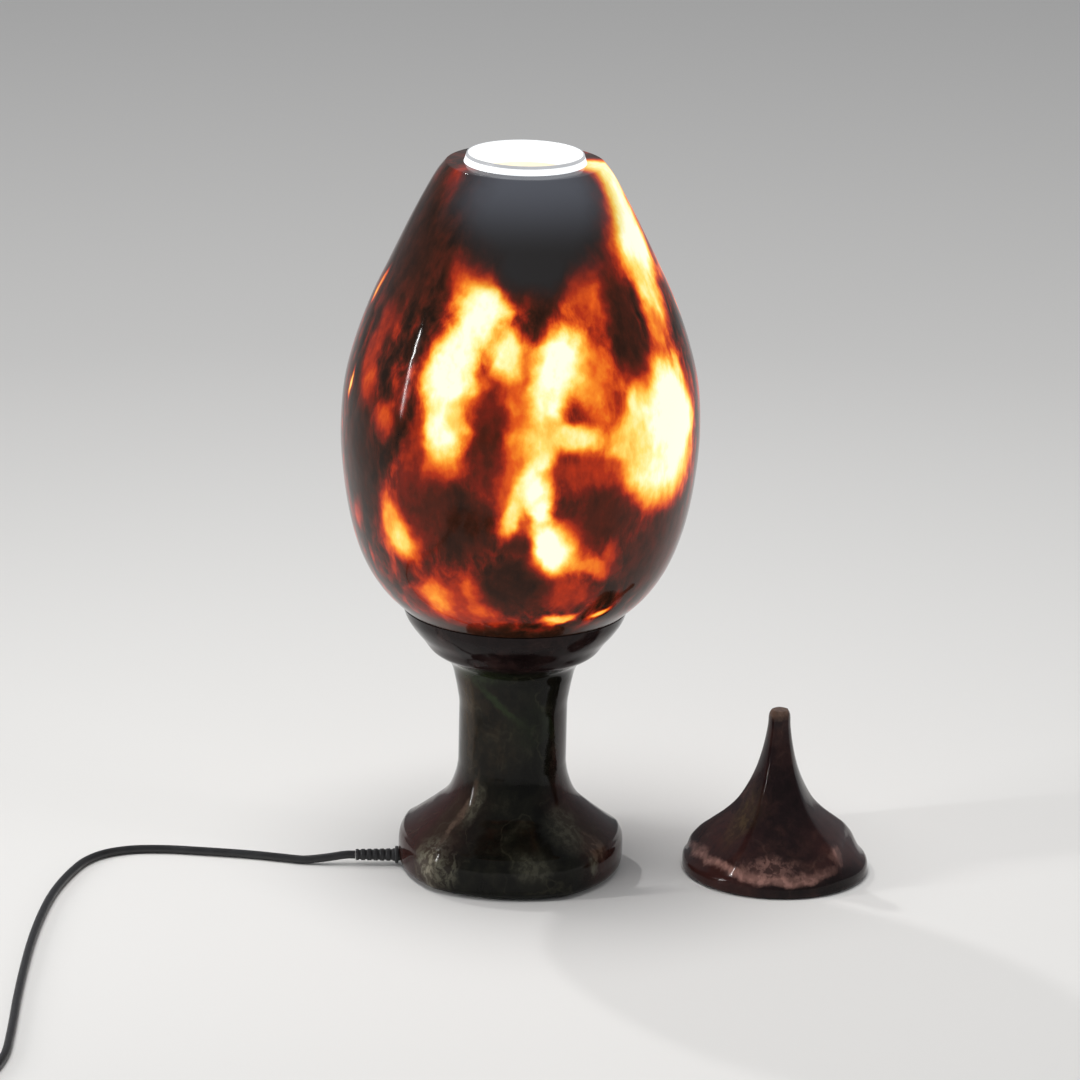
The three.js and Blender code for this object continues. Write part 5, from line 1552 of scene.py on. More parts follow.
@dataclass(frozen=True)
class Plug:
    """Two-pin plug at the end of the cord, with sleeves on its pins."""

    start: float = PLUG_START
    line: float = -496.0
    half: float = PLUG_HALF
    tail: float = 22.0
    end: float = 57.0
    corner: float = 5.0
    pin: float = 2.0
    spread: float = 9.3
    root: float = 8.0
    reach: float = 19.0
    sleeve: float = 9.5
    tail_root: float = 3.4
    tail_flare: float = 2.2
    stations: tuple[Triple, ...] = (
        (19.5, 5.4, 5.2), (21, 5.6, 7.0), (23, 5.9, 9.6), (26, 6.4, 12.6), (30, 6.7, 15.0),
        (35, 6.8, 16.5), (41, 6.8, 17.0), (55.4, 6.8, 17.0), (56.4, 6.5, 16.7), (57, 5.7, 15.9),
    )

    def body(self) -> Piece:
        """Makes the body, with tapered shoulders, grip grooves, a ringed tail and holes for the pins."""
        rings = []
        for along, high, wide in self.stations:
            corner = min(self.corner, 0.95 * high, 0.95 * wide)
            ring = rounded_ring(2 * high, 2 * wide, corner, 0.0)
            rings.append([(self.start + along, self.line + y, self.half + x) for x, y, _ in ring])
        made = loft("plug_shell", rings, FINISHES.plug)
        outline: list[Point] = [(AXIS, 0), (self.tail_root, 0, 0.5)]
        for k in range(6):
            middle = 2.6 + 3.0 * k
            radius = self.tail_root + self.tail_flare * middle / self.tail
            outline += ring_groove(radius, middle, 0.6)
        outline += [(5.5, self.tail - 1.5), (5.5, self.tail + 1), (AXIS, self.tail + 1)]
        lie = lying(self.start, self.line, self.half)
        carve(made, turned("plug_tail", filleted(outline), FINISHES.plug, 48, place=lie), operation="UNION")
        grooves = []
        for side in (-1, 1):
            height = self.half + side * self.half
            levels = ((height - 0.55, 0.15), (height + 0.55, 0.15))
            first = slab("grip", (1.0, 20), 0.45, FINISHES.plug, levels, (self.start + 31, self.line))
            grooves.append(row(first, FINISHES.plug, 5, (2.6, 0, 0)))
        deep = self.start + self.end - self.root - GAP
        ways = [
            rod(f"pin_way_{side}", self.pin + GAP, (deep, self.line + side * self.spread, self.half),
                (self.root + 3, 0, 0), FINISHES.plug)
            for side in (-1, 1)
        ]
        carve(made, *grooves, *ways)
        return settle(made, "plug_body")

    def pins(self) -> Piece:
        """Makes both pins with their dark sleeves."""
        length = self.root + self.reach
        sleeve = self.root + self.sleeve
        outline = filleted(
            [(AXIS, 0), (self.pin, 0, 0.3), (self.pin, sleeve - 0.2, 0.1), (self.pin - 0.1, sleeve, 0.05),
             (self.pin - 0.1, length - 1.4, 0.9), (self.pin - 0.9, length, 0.5), (AXIS, length)]
        )
        lie = lying(self.start + self.end - self.root, self.line - self.spread, self.half)
        one = turned("plug_pins", outline, FINISHES.nickel, 40, place=lie)
        made = row(one, FINISHES.nickel, 2, (0, 2 * self.spread, 0))
        edge = self.start + self.end + self.sleeve
        repaint(made, FINISHES.plug, lambda middle: middle.x < edge - 0.05)
        return settle(made, "plug_pin_1", "plug_pin_2")

    def build(self) -> list[Piece]:
        """Makes the plug's pieces."""
        return [self.body(), self.pins()]


# Stones


BLACK_GREEN = (
    (0.32, (0.00248, 0.00236, 0.00186)),
    (0.48, (0.00558, 0.00546, 0.00403)),
    (0.58, (0.0105, 0.0102, 0.00682)),
    (0.68, (0.0248, 0.0223, 0.0149)),
    (0.8, (0.0682, 0.0589, 0.0384)),
)
BLACK_BROWN = (
    (0.32, (0.004, 0.0025, 0.0025)),
    (0.5, (0.011, 0.006, 0.006)),
    (0.62, (0.024, 0.012, 0.011)),
    (0.76, (0.06, 0.03, 0.025)),
)
PURPLE_BROWN = (
    (0.32, (0.007, 0.0035, 0.004)),
    (0.47, (0.018, 0.0085, 0.009)),
    (0.58, (0.036, 0.016, 0.014)),
    (0.69, (0.075, 0.036, 0.028)),
    (0.82, (0.17, 0.095, 0.075)),
)
CREAM, GREY, TAN, GREEN = (0.36, 0.32, 0.24), (0.13, 0.125, 0.09), (0.2, 0.13, 0.095), (0.02, 0.03, 0.012)
MAROON, BROWN, PINK = (0.04, 0.013, 0.011), (0.03, 0.02, 0.012), (0.38, 0.2, 0.165)
OLIVE, NEAR_BLACK = (0.055, 0.034, 0.016), (0.006, 0.004, 0.004)

# Rows of colour, azimuth, height, radius, half width, half height, lean, level, broken and softness
PEDESTAL_PATCHES = (
    (MAROON, -70, 20, 69, 34, 26, 0, 0.85, 0.3), (MAROON, -80, 46, 46, 26, 16, 0, 0.8, 0.3),
    (MAROON, 70, 20, 69, 26, 26, 0, 0.85, 0.3), (MAROON, 84, 46, 46, 24, 16, 0, 0.8, 0.3),
    (BROWN, 58, 34, 55, 16, 12, -20, 0.75, 0.5), (BROWN, -50, 38, 50, 10, 16, 10, 0.7, 0.5),
    (MAROON, 66, 80, 33, 9, 40, 0, 0.6), (BROWN, -56, 84, 33, 9, 20),
    (OLIVE, -56, 118, 34, 10, 24, 0, 0.7, 0.4), (OLIVE, -28, 96, 33, 16, 30, 0, 0.2, 0.7),
    (GREEN, -46, 134, 37, 24, 8, 0, 0.7), (GREEN, -14, 113, 33, 2.6, 17, -47, 1.0, 0.3),
    (GREEN, 20, 98, 33, 12, 12, 0, 0.3), (GREY, -46, 16, 69, 11, 13, 12, 0.75, 0.8),
    (CREAM, -44, 14, 69, 7, 9, 20, 0.4, 0.8), (GREY, -33, 15, 69, 7, 9, 0, 0.5, 0.9),
    (GREY, 43, 38, 50, 12, 9, -20, 0.45), (TAN, 55, 25, 66, 8, 6, 0, 0.4, 0.7),
    (GREY, 49, 17, 69, 4, 5, 0, 0.6, 0.8), (GREY, 13, 21, 68, 11, 7, 0, 0.35),
    # (TAN, -41, 46, ...) is a painted highlight: a thin pale streak along the left-front ridge of the stem
    # and instep
    (TAN, -41, 46, 42, 2.4, 18, 8, 0.35, 0.4), (GREY, -33, 50, 38, 4, 10, 8, 0.5),
    (GREY, 150, 34, 56, 24, 15, 20, 0.6, 0.9), (CREAM, 176, 14, 69, 16, 8, 0, 0.35, 0.9),
    (MAROON, 130, 20, 69, 26, 18, 0, 0.8, 0.4), (GREY, 112, 24, 68, 10, 12, -10, 0.6, 0.9),
    (TAN, -118, 30, 62, 14, 14, 20, 0.4, 0.9), (GREEN, -140, 100, 33, 4, 30, 30, 0.9, 0.4),
    (BROWN, 170, 88, 33, 12, 26, -10, 0.7),
)
CAP_PATCHES = (
    # The rim's lighter maroon on its left (azimuth -51) and near-black on its right (azimuth 34) are painted
    # light and shade: the glow of the lit shade beside the cap falls on its left
    (MAROON, -51, 7, 56, 32, 7, 0, 0.8, 0.3), (MAROON, 72, 24, 48, 26, 13, 0, 0.8, 0.4),
    (MAROON, -62, 27, 46, 24, 10, 0, 0.7), (OLIVE, -50, 41, 28, 9, 14, 0, 0.8, 0.7),
    (NEAR_BLACK, 34, 6, 56, 40, 6, 0, 0.85, 0.2), (NEAR_BLACK, 10, 42, 30, 16, 34, 0, 0.7, 0.4),
    *(
        (PINK, azimuth, z, 54, 11, 2.0, lean, 0.75 * level, 0.45, 0.9)
        for azimuth, z, lean, level in (
            (-84, 14.5, 0, 0.5), (-66, 15.5, 0, 0.65), (-48, 15.5, 0, 0.75), (-32, 14, 6, 0.8),
            (-16, 12.3, 6, 0.8), (0, 11, 3, 0.75), (16, 11, -4, 0.6), (30, 13, -8, 0.4),
            (-120, 13, 0, 0.5), (140, 13, 0, 0.5), (175, 13, 0, 0.55), (-155, 13, 0, 0.4),
        )
    ),
    (PINK, -6, 17, 53, 15, 4.5, 0, 0.35, 0.8), (PINK, 49, 20, 51, 5, 4, 0, 0.55, 0.6),
    (TAN, 0, 102, 3, 12, 4, 0, 0.6, 0.3),
)


def patch(
    colour: Point, azimuth: float, height: float, radius: float, width: float, tall: float,
    lean: float = 0.0, level: float = 0.8, broken: float = 0.6, softness: float = 0.6,
) -> Patch:
    """A patch of one colour; the numbers after the colour are those of its mark."""
    return Patch(Mark(azimuth, height, radius, width, tall, lean, level, softness), colour, broken)


@dataclass(frozen=True)
class Pedestal:
    """Foot, stem and neck in one stone, with the felt under it."""

    base: float = 2.3
    height: float = 135.7
    foot: float = 70.5
    stem: float = 33.8
    neck: float = 46.5
    lobes: float = 0.24
    softness: float = math.radians(3.2)
    shares: Triple = (0.155, 0.48, 0.75)
    recess: Pair = (38.0, 18.0)
    bore: float = TUBE_BORE
    notch: float = 4.0
    notch_height: float = EXIT_HEIGHT
    notch_turn: float = EXIT_TURN
    notch_reach: Pair = (30.0, 90.0)

    def outline(self) -> list[Point]:
        """The outer outline from the underside up."""
        shoulder, foot_end, stem_end = (share * self.height for share in self.shares)
        foot = ((0, 0.97), (0.08, 0.99), (0.3, 1), (0.7, 0.999), (0.88, 0.988), (1, 0.968))
        instep = ((0.035, 0.92), (0.08, 0.84), (0.17, 0.69), (0.345, 0.42), (0.52, 0.19), (0.75, 0.06),
                  (1, 0))
        neck = ((0.25, 0.08), (0.5, 0.18), (0.7, 0.28), (0.83, 0.44), (0.92, 0.68), (1, 1))
        return [
            *between(foot, 0, self.foot, 0, shoulder),
            *between(instep, self.stem, self.foot, shoulder, foot_end),
            (self.stem, stem_end),
            *between(neck, self.stem, self.neck, stem_end, self.height),
        ]

    def lobe_depth(self, radius: float, z: float) -> float:
        """Depth of the lobes, gone at the top and in the recess."""
        if radius <= self.recess[0] and z <= self.recess[1] or radius <= self.bore:
            return 0.0
        return self.lobes * (1 - rise(z, self.shares[2] * self.height, self.height))

    def finish(self) -> Finish:
        """Dark marble with its pale and coloured patches."""
        patches = tuple(patch(*row) for row in PEDESTAL_PATCHES)
        return PolishedMarble("dark_marble", BLACK_GREEN, (0.12, 0.11, 0.07), patches, gloss=0.14)

    def build(self) -> None:
        """Makes the stone and the felt."""
        outer = smooth_path(self.outline(), 1.1)
        deep, floor = self.recess
        ring = [*outer, (self.bore, self.height), (self.bore, floor), (deep, floor), (deep, 0.0)]
        stone = turned(
            "pedestal_stone", ring, self.finish(), 240, self.lobe_depth, RIDGE_TURN, self.softness,
            at(z=self.base),
        )
        low, high = self.notch_reach
        slot = turned(
            "notch_cutter", [(2 * AXIS, low), (self.notch, low), (self.notch, high), (2 * AXIS, high)],
            self.finish(), 24, place=lying(0, 0, self.notch_height, self.notch_turn),
        )
        carve(stone, slot)
        settle(stone, "pedestal")
        outline = filleted([(2 * AXIS, 0), (56, 0, 0.5), (56, 2, 0.5), (2 * AXIS, 2)])
        on_axis("felt_disc", "base_felt", outline, FINISHES.felt, 96, 0)


@dataclass(frozen=True)
class Bowl:
    """Bowl that carries the lampholder and the shade."""

    base: float = 138.3
    height: float = 28.7
    foot: float = 47.5
    seat: float = 68.0
    floor: float = 15.7
    floor_radius: float = 38.0
    slope: Pair = (48.67, 22.2)
    spigot: Pair = (8.0, 14.0)
    spigot_height: float = 5.0
    bore: float = TUBE_BORE

    def build(self) -> None:
        """Makes the bowl."""
        shares = ((0, 0), (0.09, 0.17), (0.31, 0.4), (0.53, 0.66), (0.76, 0.87), (1, 1))
        outer = smooth_path(between(shares, self.foot, self.seat, 0, self.height), 1.0)
        outside, inside = (self.seat - value for value in self.spigot)
        top = self.height + self.spigot_height
        ring = filleted(
            [
                (self.bore, 0), *outer[:-1], (*outer[-1], 0.6), (outside, self.height), (outside, top, 0.5),
                (inside, top, 0.5), (inside, self.height), self.slope, (self.floor_radius, self.floor),
                (self.bore, self.floor),
            ]
        )
        finish = PolishedMarble("bowl_marble", BLACK_BROWN, (0.08, 0.045, 0.035), gloss=0.12)
        on_axis("bowl_stone", "shade_bowl", ring, finish, 200, self.base)


@dataclass(frozen=True)
class Shade:
    """Hollow egg of lit marble with a thin collar round its mouth."""

    base: float = 167.3
    height: float = 272.7
    belly: float = 110.7
    belly_height: float = 108.5
    seat: float = 68.0
    shoulder: float = 47.0
    wall: float = 8.0
    mouth: float = 33.8
    collar: float = 36.3
    brink: float = 34.7
    collar_height: float = 5.4
    lobes: float = 0.22
    softness: float = math.radians(2.6)
    paint_depth: float = 0.985

    def outline(self) -> np.ndarray:
        """The outer outline from the seat to the shoulder."""
        lower = ((0, 0), (0.126, 0.325), (0.301, 0.625), (0.523, 0.85), (0.781, 0.965), (1, 1))
        upper = ((0.171, 0.97), (0.32, 0.875), (0.475, 0.73), (0.615, 0.56), (0.749, 0.385), (0.87, 0.215),
                 (0.96, 0.08), (1, 0))
        points = between(lower, self.seat, self.belly, 0, self.belly_height)
        points += between(upper, self.shoulder, self.belly, self.belly_height, self.height)
        return smooth_path(points, 2.4)

    def lobe_depth(self, radius: float, z: float) -> float:
        """Depth of the lobes, gone at the seat and the shoulder."""
        fade = self.height / 4
        return self.lobes * rise(z, 0, fade) * (1 - rise(z, self.height - fade, self.height))

    def radius_at(self, z: float) -> float:
        """The outer radius at a height above the surface that the lamp stands on."""
        line = self.outline()
        return float(np.interp(z - self.base, line[:, 1], line[:, 0]))

    def build(self) -> None:
        """Makes the shade with its outside, inside and collar finishes."""
        outer = self.outline()
        inner = [
            (radius, z) for radius, z in inset(outer, self.wall)
            if 6 < z < self.height - self.wall and radius > self.mouth
        ]
        top = self.height + self.collar_height
        ring = filleted(
            [
                (*outer[0], 0.5), *outer[1:-1], (*outer[-1], 0.8), (self.collar, self.height, 0.3),
                (self.brink + 0.5, top - 1.7), (self.brink, top, 0.3), (self.mouth, top, 0.3),
                (self.mouth, self.height - self.wall),
                *inner[::-1], (inner[0][0], 5.3), (60.3, 5.3), (60.3, 0),
            ]
        )
        made = turned(
            "shade_stone", ring, shade_finish(self), 280, self.lobe_depth, RIDGE_TURN, self.softness,
            at(z=self.base),
        )
        lit = GlowingStone("shade_inside", (1.0, 0.9, 0.7), 0.9)
        bright = GlowingStone("shade_collar", (0.95, 0.98, 1.0), 1.0)
        # The collar's outer top edge glows a dimmer grey: painted shade on the rim
        edge = GlowingStone("collar_rim_painted_shade", (0.5, 0.51, 0.53), 1.0, 0.1)
        reach = np.array([[r - self.wall / 2, z] for r, z in outer])

        def inside(middle: Vector) -> bool:
            z = middle.z - self.base
            half = float(np.interp(z, reach[:, 1], reach[:, 0]))
            drawn_in = 1 - LOBE_SAG * self.lobe_depth(0, z)
            return 6 < z < self.height - 2 and math.hypot(middle.x, middle.y) < half * drawn_in

        def collar(middle: Vector) -> bool:
            z, radius = middle.z - self.base, math.hypot(middle.x, middle.y)
            return z > self.height + 0.1 or (z > self.height - 9 and radius < self.mouth + 0.5)

        # Faces of the collar's outer top edge, which get the painted shade
        def brink(middle: Vector) -> bool:
            return middle.z - self.base > top - 1.7 and math.hypot(middle.x, middle.y) > self.mouth + 0.1

        repaint(made, lit, inside)
        repaint(made, bright, collar)
        repaint(made, edge, brink)
        settle(made, "shade")


# Rows of azimuth, height, half width, half height, lean and level of light
LIT_PATCHES = (
    (0, 320, 28, 28, 0, .55), (25, 336, 12, 25, 0, .62), (1, 273, 20, 31, 10, .56), (-25, 281, 20, 14, 0, .6),
    (-41, 239, 19, 24, -10, .5), (-23, 191, 30, 25, 0, .42), (17, 201, 21, 12, 0, .4),
    (14, 233, 23, 21, 0, .6), (46, 287, 40, 39, 0, .7), (46, 330, 25, 13, 0, .52), (29, 383, 25, 18, 40, .56),
    (51, 407, 14, 20, 10, .55), (-27, 388, 10, 11, 0, .66), (-16, 370, 17, 19, 0, 1),
    (-23, 346, 13, 19, 25, .98), (-25, 328, 18, 14, 10, 1), (-25, 302, 16, 15, 0, .98),
    (-21, 310, 5, 7, 0, .8), (-4, 346, 10, 12, 0, .93), (14, 344, 13, 22, 12, 1.04),
    (10, 324, 10, 18, 8, .98), (12, 300, 28, 9, 0, .78), (19, 300, 11, 7, 0, .9), (6, 275, 9, 17, 12, 1),
    (-1, 255, 5, 15, 22, .86), (8, 257, 6, 10, 0, 1), (12, 233, 14, 15, 0, 1.06), (19, 245, 6, 7, 0, .86),
    (28, 220, 16, 7, 25, .7), (33, 230, 5, 8, 15, .6), (-40, 232, 10, 13, -12, .84),
    (-45, 245, 8, 10, -12, .72), (-30, 194, 9, 12, 0, .66), (-14, 203, 6, 8, 0, .62),
    (-9, 191, 9, 6, -20, .6), (59, 297, 31, 39, 0, 1.1), (46, 287, 25, 24, 10, .97),
    (39, 288, 15, 17, 0, .83), (55, 254, 19, 9, 0, .86), (44, 321, 8, 10, 28, .98), (80, 436, 16, 10, 0, .95),
    (73, 424, 16, 20, -25, .97), (71, 398, 19, 28, -24, 1.05), (65, 372, 13, 24, -16, .86),
    (61, 351, 9, 14, -10, .6), (-57, 436, 9, 11, 0, .52), (-51, 382, 10, 10, 0, .33),
    (-59, 356, 13, 9, 20, .44), (-64, 335, 9, 23, 8, .38), (-60, 316, 10, 14, 0, .46),
    (-47, 302, 10, 11, -15, .5), (-35, 284, 6, 26, 5, .38), (-68, 233, 8, 9, 0, .5),
    (-71, 399, 50, 36, 20, .07), (43, 359, 12, 33, -5, .1), (-9, 298, 9, 29, 0, .22),
    (-26, 251, 20, 21, 0, .19), (-16, 247, 12, 21, 0, .1), (22, 278, 22, 8, 0, .31),
    (28, 253, 22, 18, 0, .17), (58, 220, 42, 28, 0, .14), (-1, 207, 18, 18, 0, .05), (0, 234, 8, 7, 0, .2),
    (-62, 270, 24, 31, 0, .08), (5, 387, 16, 15, 0, .16),
    # In the next row, (18, 183, ...) and (38, 185, ...) are painted highlights: bright glints on the lower
    # front near the seam, painted as light in the stone
    (22, 279, 19, 12, 0, .42), (18, 183, 12, 3.5, -8, .78), (38, 185, 7, 3, -20, .8),
    # These two rows are painted highlights: bright streaks along the left silhouette, painted as light in the
    # stone
    (-84, 365, 3, 12, 20, .66), (-76, 311, 2, 9, 10, .8),
)
# Rows of azimuth, height, half width and half height
SLATE = ((7, 421, 43, 38), (4, 398, 24, 18))


def shade_finish(shade: Shade) -> Finish:
    """The shade's marble with its lit and dark patches."""
    marks, slate = (
        tuple(
            Mark(azimuth, z, shade.paint_depth * shade.radius_at(z), *shape, softness=softness)
            for azimuth, z, *shape in table
        )
        for table, softness in ((LIT_PATCHES, 0.62), (SLATE, 0.45))
    )
    return LitMarble("lit_marble", marks, slate)


@dataclass(frozen=True)
class Cap:
    """Pointed cap that stands beside the lamp."""

    centre: Pair = (162.0, 5.0)
    radius: float = 56.5
    height: float = 102.5
    rim: float = 10.7
    tip: float = 6.6
    turn: float = 152.0
    lobes: float = 0.85
    softness: float = math.radians(3.0)
    recess: Pair = (36.0, 5.7)

    def lobe_depth(self, radius: float, z: float) -> float:
        """Depth of the lobes, none on the rim and in the recess."""
        if radius <= self.recess[0] and z <= self.recess[1]:
            return 0.0
        fade = 1 - rise(z, 3 * self.rim, self.height) / 2
        return self.lobes * rise(z, self.rim / 2, 2 * self.rim) * fade

    def build(self) -> None:
        """Makes the cap."""
        rim = ((0, 0.965), (0.2, 1), (0.78, 1), (1, 0.975))
        ogee = ((0.07, 0.94), (0.14, 0.84), (0.2, 0.7), (0.27, 0.53), (0.35, 0.38), (0.44, 0.27),
                (0.57, 0.155), (0.72, 0.07), (0.88, 0.015), (0.97, 0), (1, -0.03))
        points = between(rim, 0, self.radius, 0, self.rim)
        points += between(ogee, self.tip, self.radius, self.rim, self.height)
        outer = smooth_path(points, 0.8)
        deep, floor = self.recess
        ring = filleted(
            [*outer[:-1], (*outer[-1], 1.2), (2 * AXIS, self.height), (2 * AXIS, floor), (deep, floor),
             (deep, 0, 0.4)]
        )
        patches = tuple(patch(*row) for row in CAP_PATCHES)
        finish = PolishedMarble("cap_marble", PURPLE_BROWN, (0.14, 0.08, 0.06), patches, self.centre)
        made = turned(
            "cap_stone", ring, finish, 240, self.lobe_depth, math.radians(self.turn), self.softness,
            at(*self.centre),
        )
        settle(made, "cap", body=Body.CAP)


# Fittings inside the stones


@dataclass(frozen=True)
class Clamp:
    """Threaded tube with a washer and a nut at each end."""

    bore: float = 3.6
    radius: float = 5.0
    ends: Pair = (10.5, 170.4)
    threaded: float = 20.0
    pitch: float = 1.0
    depth: float = 0.4
    washer: Triple = (TUBE_BORE, 14.0, 1.5)
    nut: Triple = (TUBE_BORE, 9.81, 6.0)

    def tube(self) -> None:
        """Makes the tube, threaded at both ends."""
        low, high = self.ends
        fine = self.pitch / THREAD_STEPS
        climb = np.concatenate(
            [np.arange(low + 0.5, low + self.threaded, fine),
             np.arange(high - self.threaded, high - 0.5, fine)]
        )
        plain = self.radius - self.depth / 2
        turns = [(self.radius, z) for z in climb]
        half = len(climb) // 2
        ring = [
            (self.bore, low), (plain - 0.2, low), *turns[:half], (plain, low + self.threaded + 0.3),
            (plain, high - self.threaded - 0.3), *turns[half:], (plain - 0.2, high), (self.bore, high),
        ]

        def thread(radius: float, z: float) -> float:
            return self.depth if radius > self.radius - 0.05 else 0.0

        on_axis(
            "lamp_tube_threaded", "lamp_tube", np.array(ring), FINISHES.steel, 48, 0, thread=thread,
            pitch=self.pitch,
        )

    def build(self) -> None:
        """Makes the tube, the washers and the nuts."""
        self.tube()
        inner, outer, thick = self.washer
        bore, corner, height = self.nut
        washer_ring = filleted([(inner, 0, 0.2), (outer, 0, 0.4), (outer, thick, 0.4), (inner, thick, 0.2)])
        nut_outline = [(bore, 0.5), (bore + 0.5, 0), (8.2, 0), (corner, 0.9), (corner, height - 0.9),
                       (8.2, height), (bore + 0.5, height), (bore, height - 0.5)]
        for place, washer_z, nut_z in (("base", 18.5, 12.2), ("bowl", 154.3, 156.1)):
            node = f"{place}_washer"
            on_axis(f"{node}_pressed", node, washer_ring, FINISHES.steel, 72, washer_z)
            on_axis(
                f"{place}_nut_hexagon", f"{place}_nut", np.array(nut_outline), FINISHES.brass, 72, nut_z,
                lobe_depth=lambda radius, z: 1.0 if radius > 9 else 0.0, softness=0.03, lobes=6,
            )


@dataclass(frozen=True)
class Lampholder:
    """Lampholder on the top of the tube."""

    cap_z: float = 162.4
    insert_z: float = 179.7
    skirt_z: float = 184.7
    shell_z: float = 192.0
    shell: Triple = (13.5, 14.1, 21.0)
    radius: float = 20.5
    wall: float = 2.2
    turn: float = 274.0
    terminal: float = 9.5
    grips: int = 40
    flute: float = 8.0

    def grip(self, low: float, high: float) -> Callable[[float, float], float]:
        """Depth of the grip's flutes between two heights of the outside."""

        def depth(radius: float, z: float) -> float:
            return self.flute * rise(z, low, low + 0.8) * rise(z, high, high - 0.8) if radius > 20 else 0.0

        return depth

    def housing(self) -> None:
        """Makes the lower cover and the outer shell, both with fluted grips."""
        inside, r = self.radius - self.wall, self.radius
        below = filleted(
            [(TUBE_BORE, 0), (8, 0, 0.6), (8, 8, 2.5), (16.33, 12.5, 3), (r, 17, 2), (r, 17.7), (r, 18.5),
             (r, 20.6), (r, 21.4), (r, 22, 0.4), (inside, 22, 0.2), (inside, 17), (16.7, 17), (13.27, 13.6),
             (TUBE_BORE, 4)]
        )
        on_axis(
            "holder_lower_cover", "holder_cap", below, FINISHES.phenolic, 240, self.cap_z,
            lobe_depth=self.grip(17.6, 21.5), softness=0.02, lobes=self.grips,
        )
        above = filleted(
            [(inside, 0), (r, 0, 0.3), (r, 0.6), (r, 1.4), (r, 16), (r, 16.8), (r, 18.4, 0.3),
             (r - 0.7, 18.9, 0.3), (r - 0.7, 20.1, 0.3), (r, 20.6, 0.3), (r, 33.4, 1), (r - 1, 36, 0.8),
             (14.4, 36, 0.4), (14.4, 34), (inside, 34)]
        )
        on_axis(
            "holder_outer_shell", "holder_skirt", above, FINISHES.phenolic, 240, self.skirt_z,
            lobe_depth=self.grip(0.5, 16.9), softness=0.02, lobes=self.grips,
        )

    def build(self) -> None:
        """Makes the lampholder."""
        self.housing()
        insert = turned(
            "holder_porcelain", filleted([(AXIS, 0), (18, 0, 0.9), (18, 12, 0.9), (AXIS, 12)]),
            FINISHES.porcelain, 72, place=at(z=self.insert_z),
        )
        turn = math.radians(self.turn)
        x, y = self.terminal * math.cos(turn), self.terminal * math.sin(turn)
        for side in (-1, 1):
            start = (side * x, side * y, self.insert_z - 1)
            carve(insert, rod(f"terminal_way_{side}", 1.7, start, (0, 0, 8.3), FINISHES.porcelain))
        settle(insert, "holder_insert")
        inner, outer, top = self.shell
        climb = np.arange(1.5, 19.6, 0.4)
        ring = [
            (inner, 0), (outer, 0), *((outer, z) for z in climb), (outer, top), (inner, top),
            *((inner, z) for z in climb[::-1]),
        ]
        on_axis(
            "holder_threaded_shell", "holder_screw_shell", np.array(ring), FINISHES.nickel, 72, self.shell_z,
            thread=lambda radius, z: 0.3 * rise(z, 1, 3) * rise(z, 20, 18),
        )
        for word in ("centre", "side"):
            strip = refined(f"holder_{word}_strip", f"holder_{word}_contact", FINISHES.brass, 0.18, 2)
            settle(strip, f"holder_{word}_contact")
        screws = slotted_screw("terminal_screws", (2.8, 1.8), (1.4, 6.9), 0.7, FINISHES.brass)
        screws.data.transform(at(-x, -y, self.insert_z - 2.1))
        screws = row(screws, FINISHES.brass, 2, (2 * x, 2 * y, 0))
        settle(screws, "terminal_screw_live", "terminal_screw_neutral")


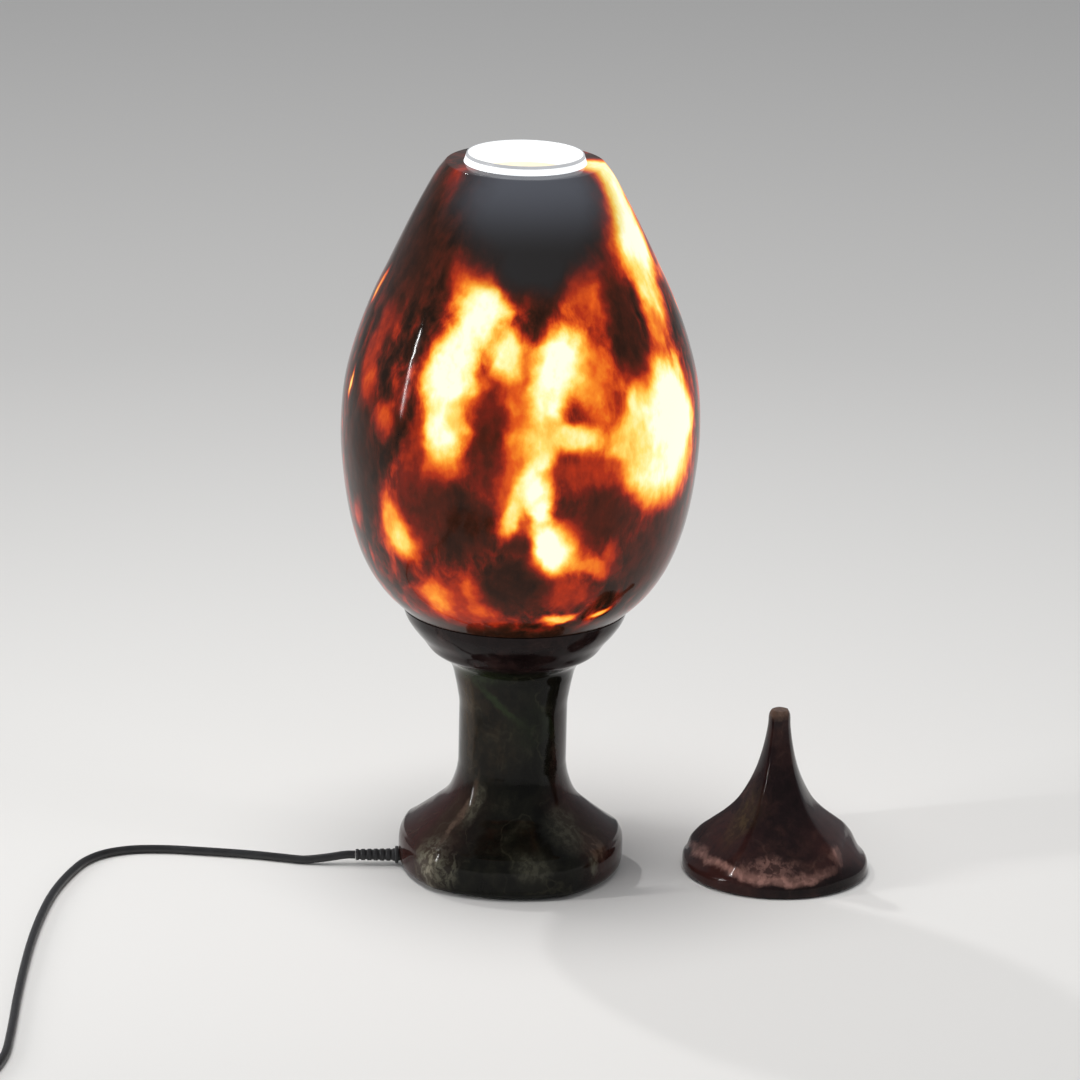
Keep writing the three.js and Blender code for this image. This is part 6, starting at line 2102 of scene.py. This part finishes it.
@dataclass(frozen=True)
class Bulb:
    """Bulb with a threaded cap, a ribbed housing and a milky dome."""

    base: float = 195.5
    crest: float = 13.1
    root: float = 12.2
    radius: float = 30.0
    wall: float = 1.4
    ring_z: float = 1.5
    cap_z: float = 5.4
    cap_height: float = 22.0
    housing_z: float = 27.7
    housing_height: float = 34.0
    dome_z: float = 63.9
    dome_height: float = 51.1

    def foot(self) -> None:
        """Makes the tip, the insulator and the threaded cap."""
        tip = filleted([(AXIS, 0), (3.4, 0, 0.8), (4.6, 0.6, 0.3), (4.6, 1.2), (AXIS, 1.2)])
        on_axis("bulb_tip", "bulb_tip_contact", tip, FINISHES.nickel, 48, self.base, Body.BULB)
        ring = filleted(
            [(AXIS, 0), (4.6, 0, 0.3), (6.2, 0.9, 0.8), (11, 2.6, 0.8), (12.2, 3.6, 0.2), (AXIS, 3.6)]
        )
        low = self.base + self.ring_z
        on_axis("bulb_glass_ring", "bulb_insulator", ring, FINISHES.phenolic, 64, low, Body.BULB)
        ease = self.crest - self.root

        def held(z: float) -> float:
            return rise(z, 1.2, 3.4) * rise(z, 18.6, 17.0)

        climb = [(self.root + ease * held(z), z) for z in np.arange(1.0, 19, 0.3)]
        inner, top = self.root - 0.6, self.cap_height
        outline = [(inner, 0), (self.root - 0.3, 0), (self.root, 0.4), *climb, (self.root, 19.2),
                   (self.crest, 19.9), (self.crest, 21.8), (self.crest - 0.2, top), (inner, top)]
        on_axis(
            "bulb_threaded_cap", "bulb_screw_cap", np.array(outline), FINISHES.nickel, 96,
            self.base + self.cap_z, Body.BULB,
            thread=lambda radius, z: ease * held(z) if radius > self.root - 0.1 else 0.0,
        )

    def build(self) -> None:
        """Makes the bulb."""
        self.foot()
        shares = ((0, 0), (0.12, 0.06), (0.4, 0.42), (0.7, 0.8), (1, 1))
        outer = smooth_path(between(shares, self.crest, self.radius, 0, self.housing_height), 0.8)
        inner = inset(outer, self.wall)[2:-2]
        ring = np.vstack([outer, [(self.radius - self.wall, self.housing_height)], inner[::-1],
                          [(self.crest - self.wall, 0)]])
        on_axis(
            "bulb_ribbed_housing", "bulb_housing", ring, FINISHES.bulb, 240, self.base + self.housing_z,
            Body.BULB, softness=0.02, lobes=30,
            lobe_depth=lambda radius, z: 5.0 * rise(z, 5, 12) * rise(z, 30, 24) if radius > 14 else 0.0,
        )
        for name, node, finish in (
            ("bulb_light_plate", "bulb_led_board", FINISHES.light_board),
            ("bulb_driver_plate", "bulb_driver_board", FINISHES.circuit_board),
        ):
            settle(refined(name, node, finish, 0.2, 2, 60.0), node, body=Body.BULB)
        dome = ((0, 0.985), (0.25, 1), (0.5, 0.92), (0.7, 0.76), (0.87, 0.5), (0.96, 0.25), (1, 0.0005))
        outside, inside = (
            smooth_path(between(dome, 0, self.radius - wall, 0, self.dome_height - wall), 1.0)
            for wall in (0, self.wall)
        )
        on_axis(
            "bulb_milky_dome", "bulb_diffuser", np.vstack([outside, inside[::-1]]), FINISHES.diffuser, 120,
            self.base + self.dome_z, Body.BULB,
        )


# Whole lamp


def main() -> None:
    """Builds the studio and the lamp."""
    logging.basicConfig(level=logging.INFO, format="%(name)s: %(message)s")
    Studio().build()
    Cord().build(Switch().build(), Plug().build())
    for part in (Pedestal(), Bowl(), Shade(), Cap(), Clamp(), Lampholder(), Bulb()):
        part.build()
    LOG.info("boxes written")


if __name__ == "__main__":
    main()
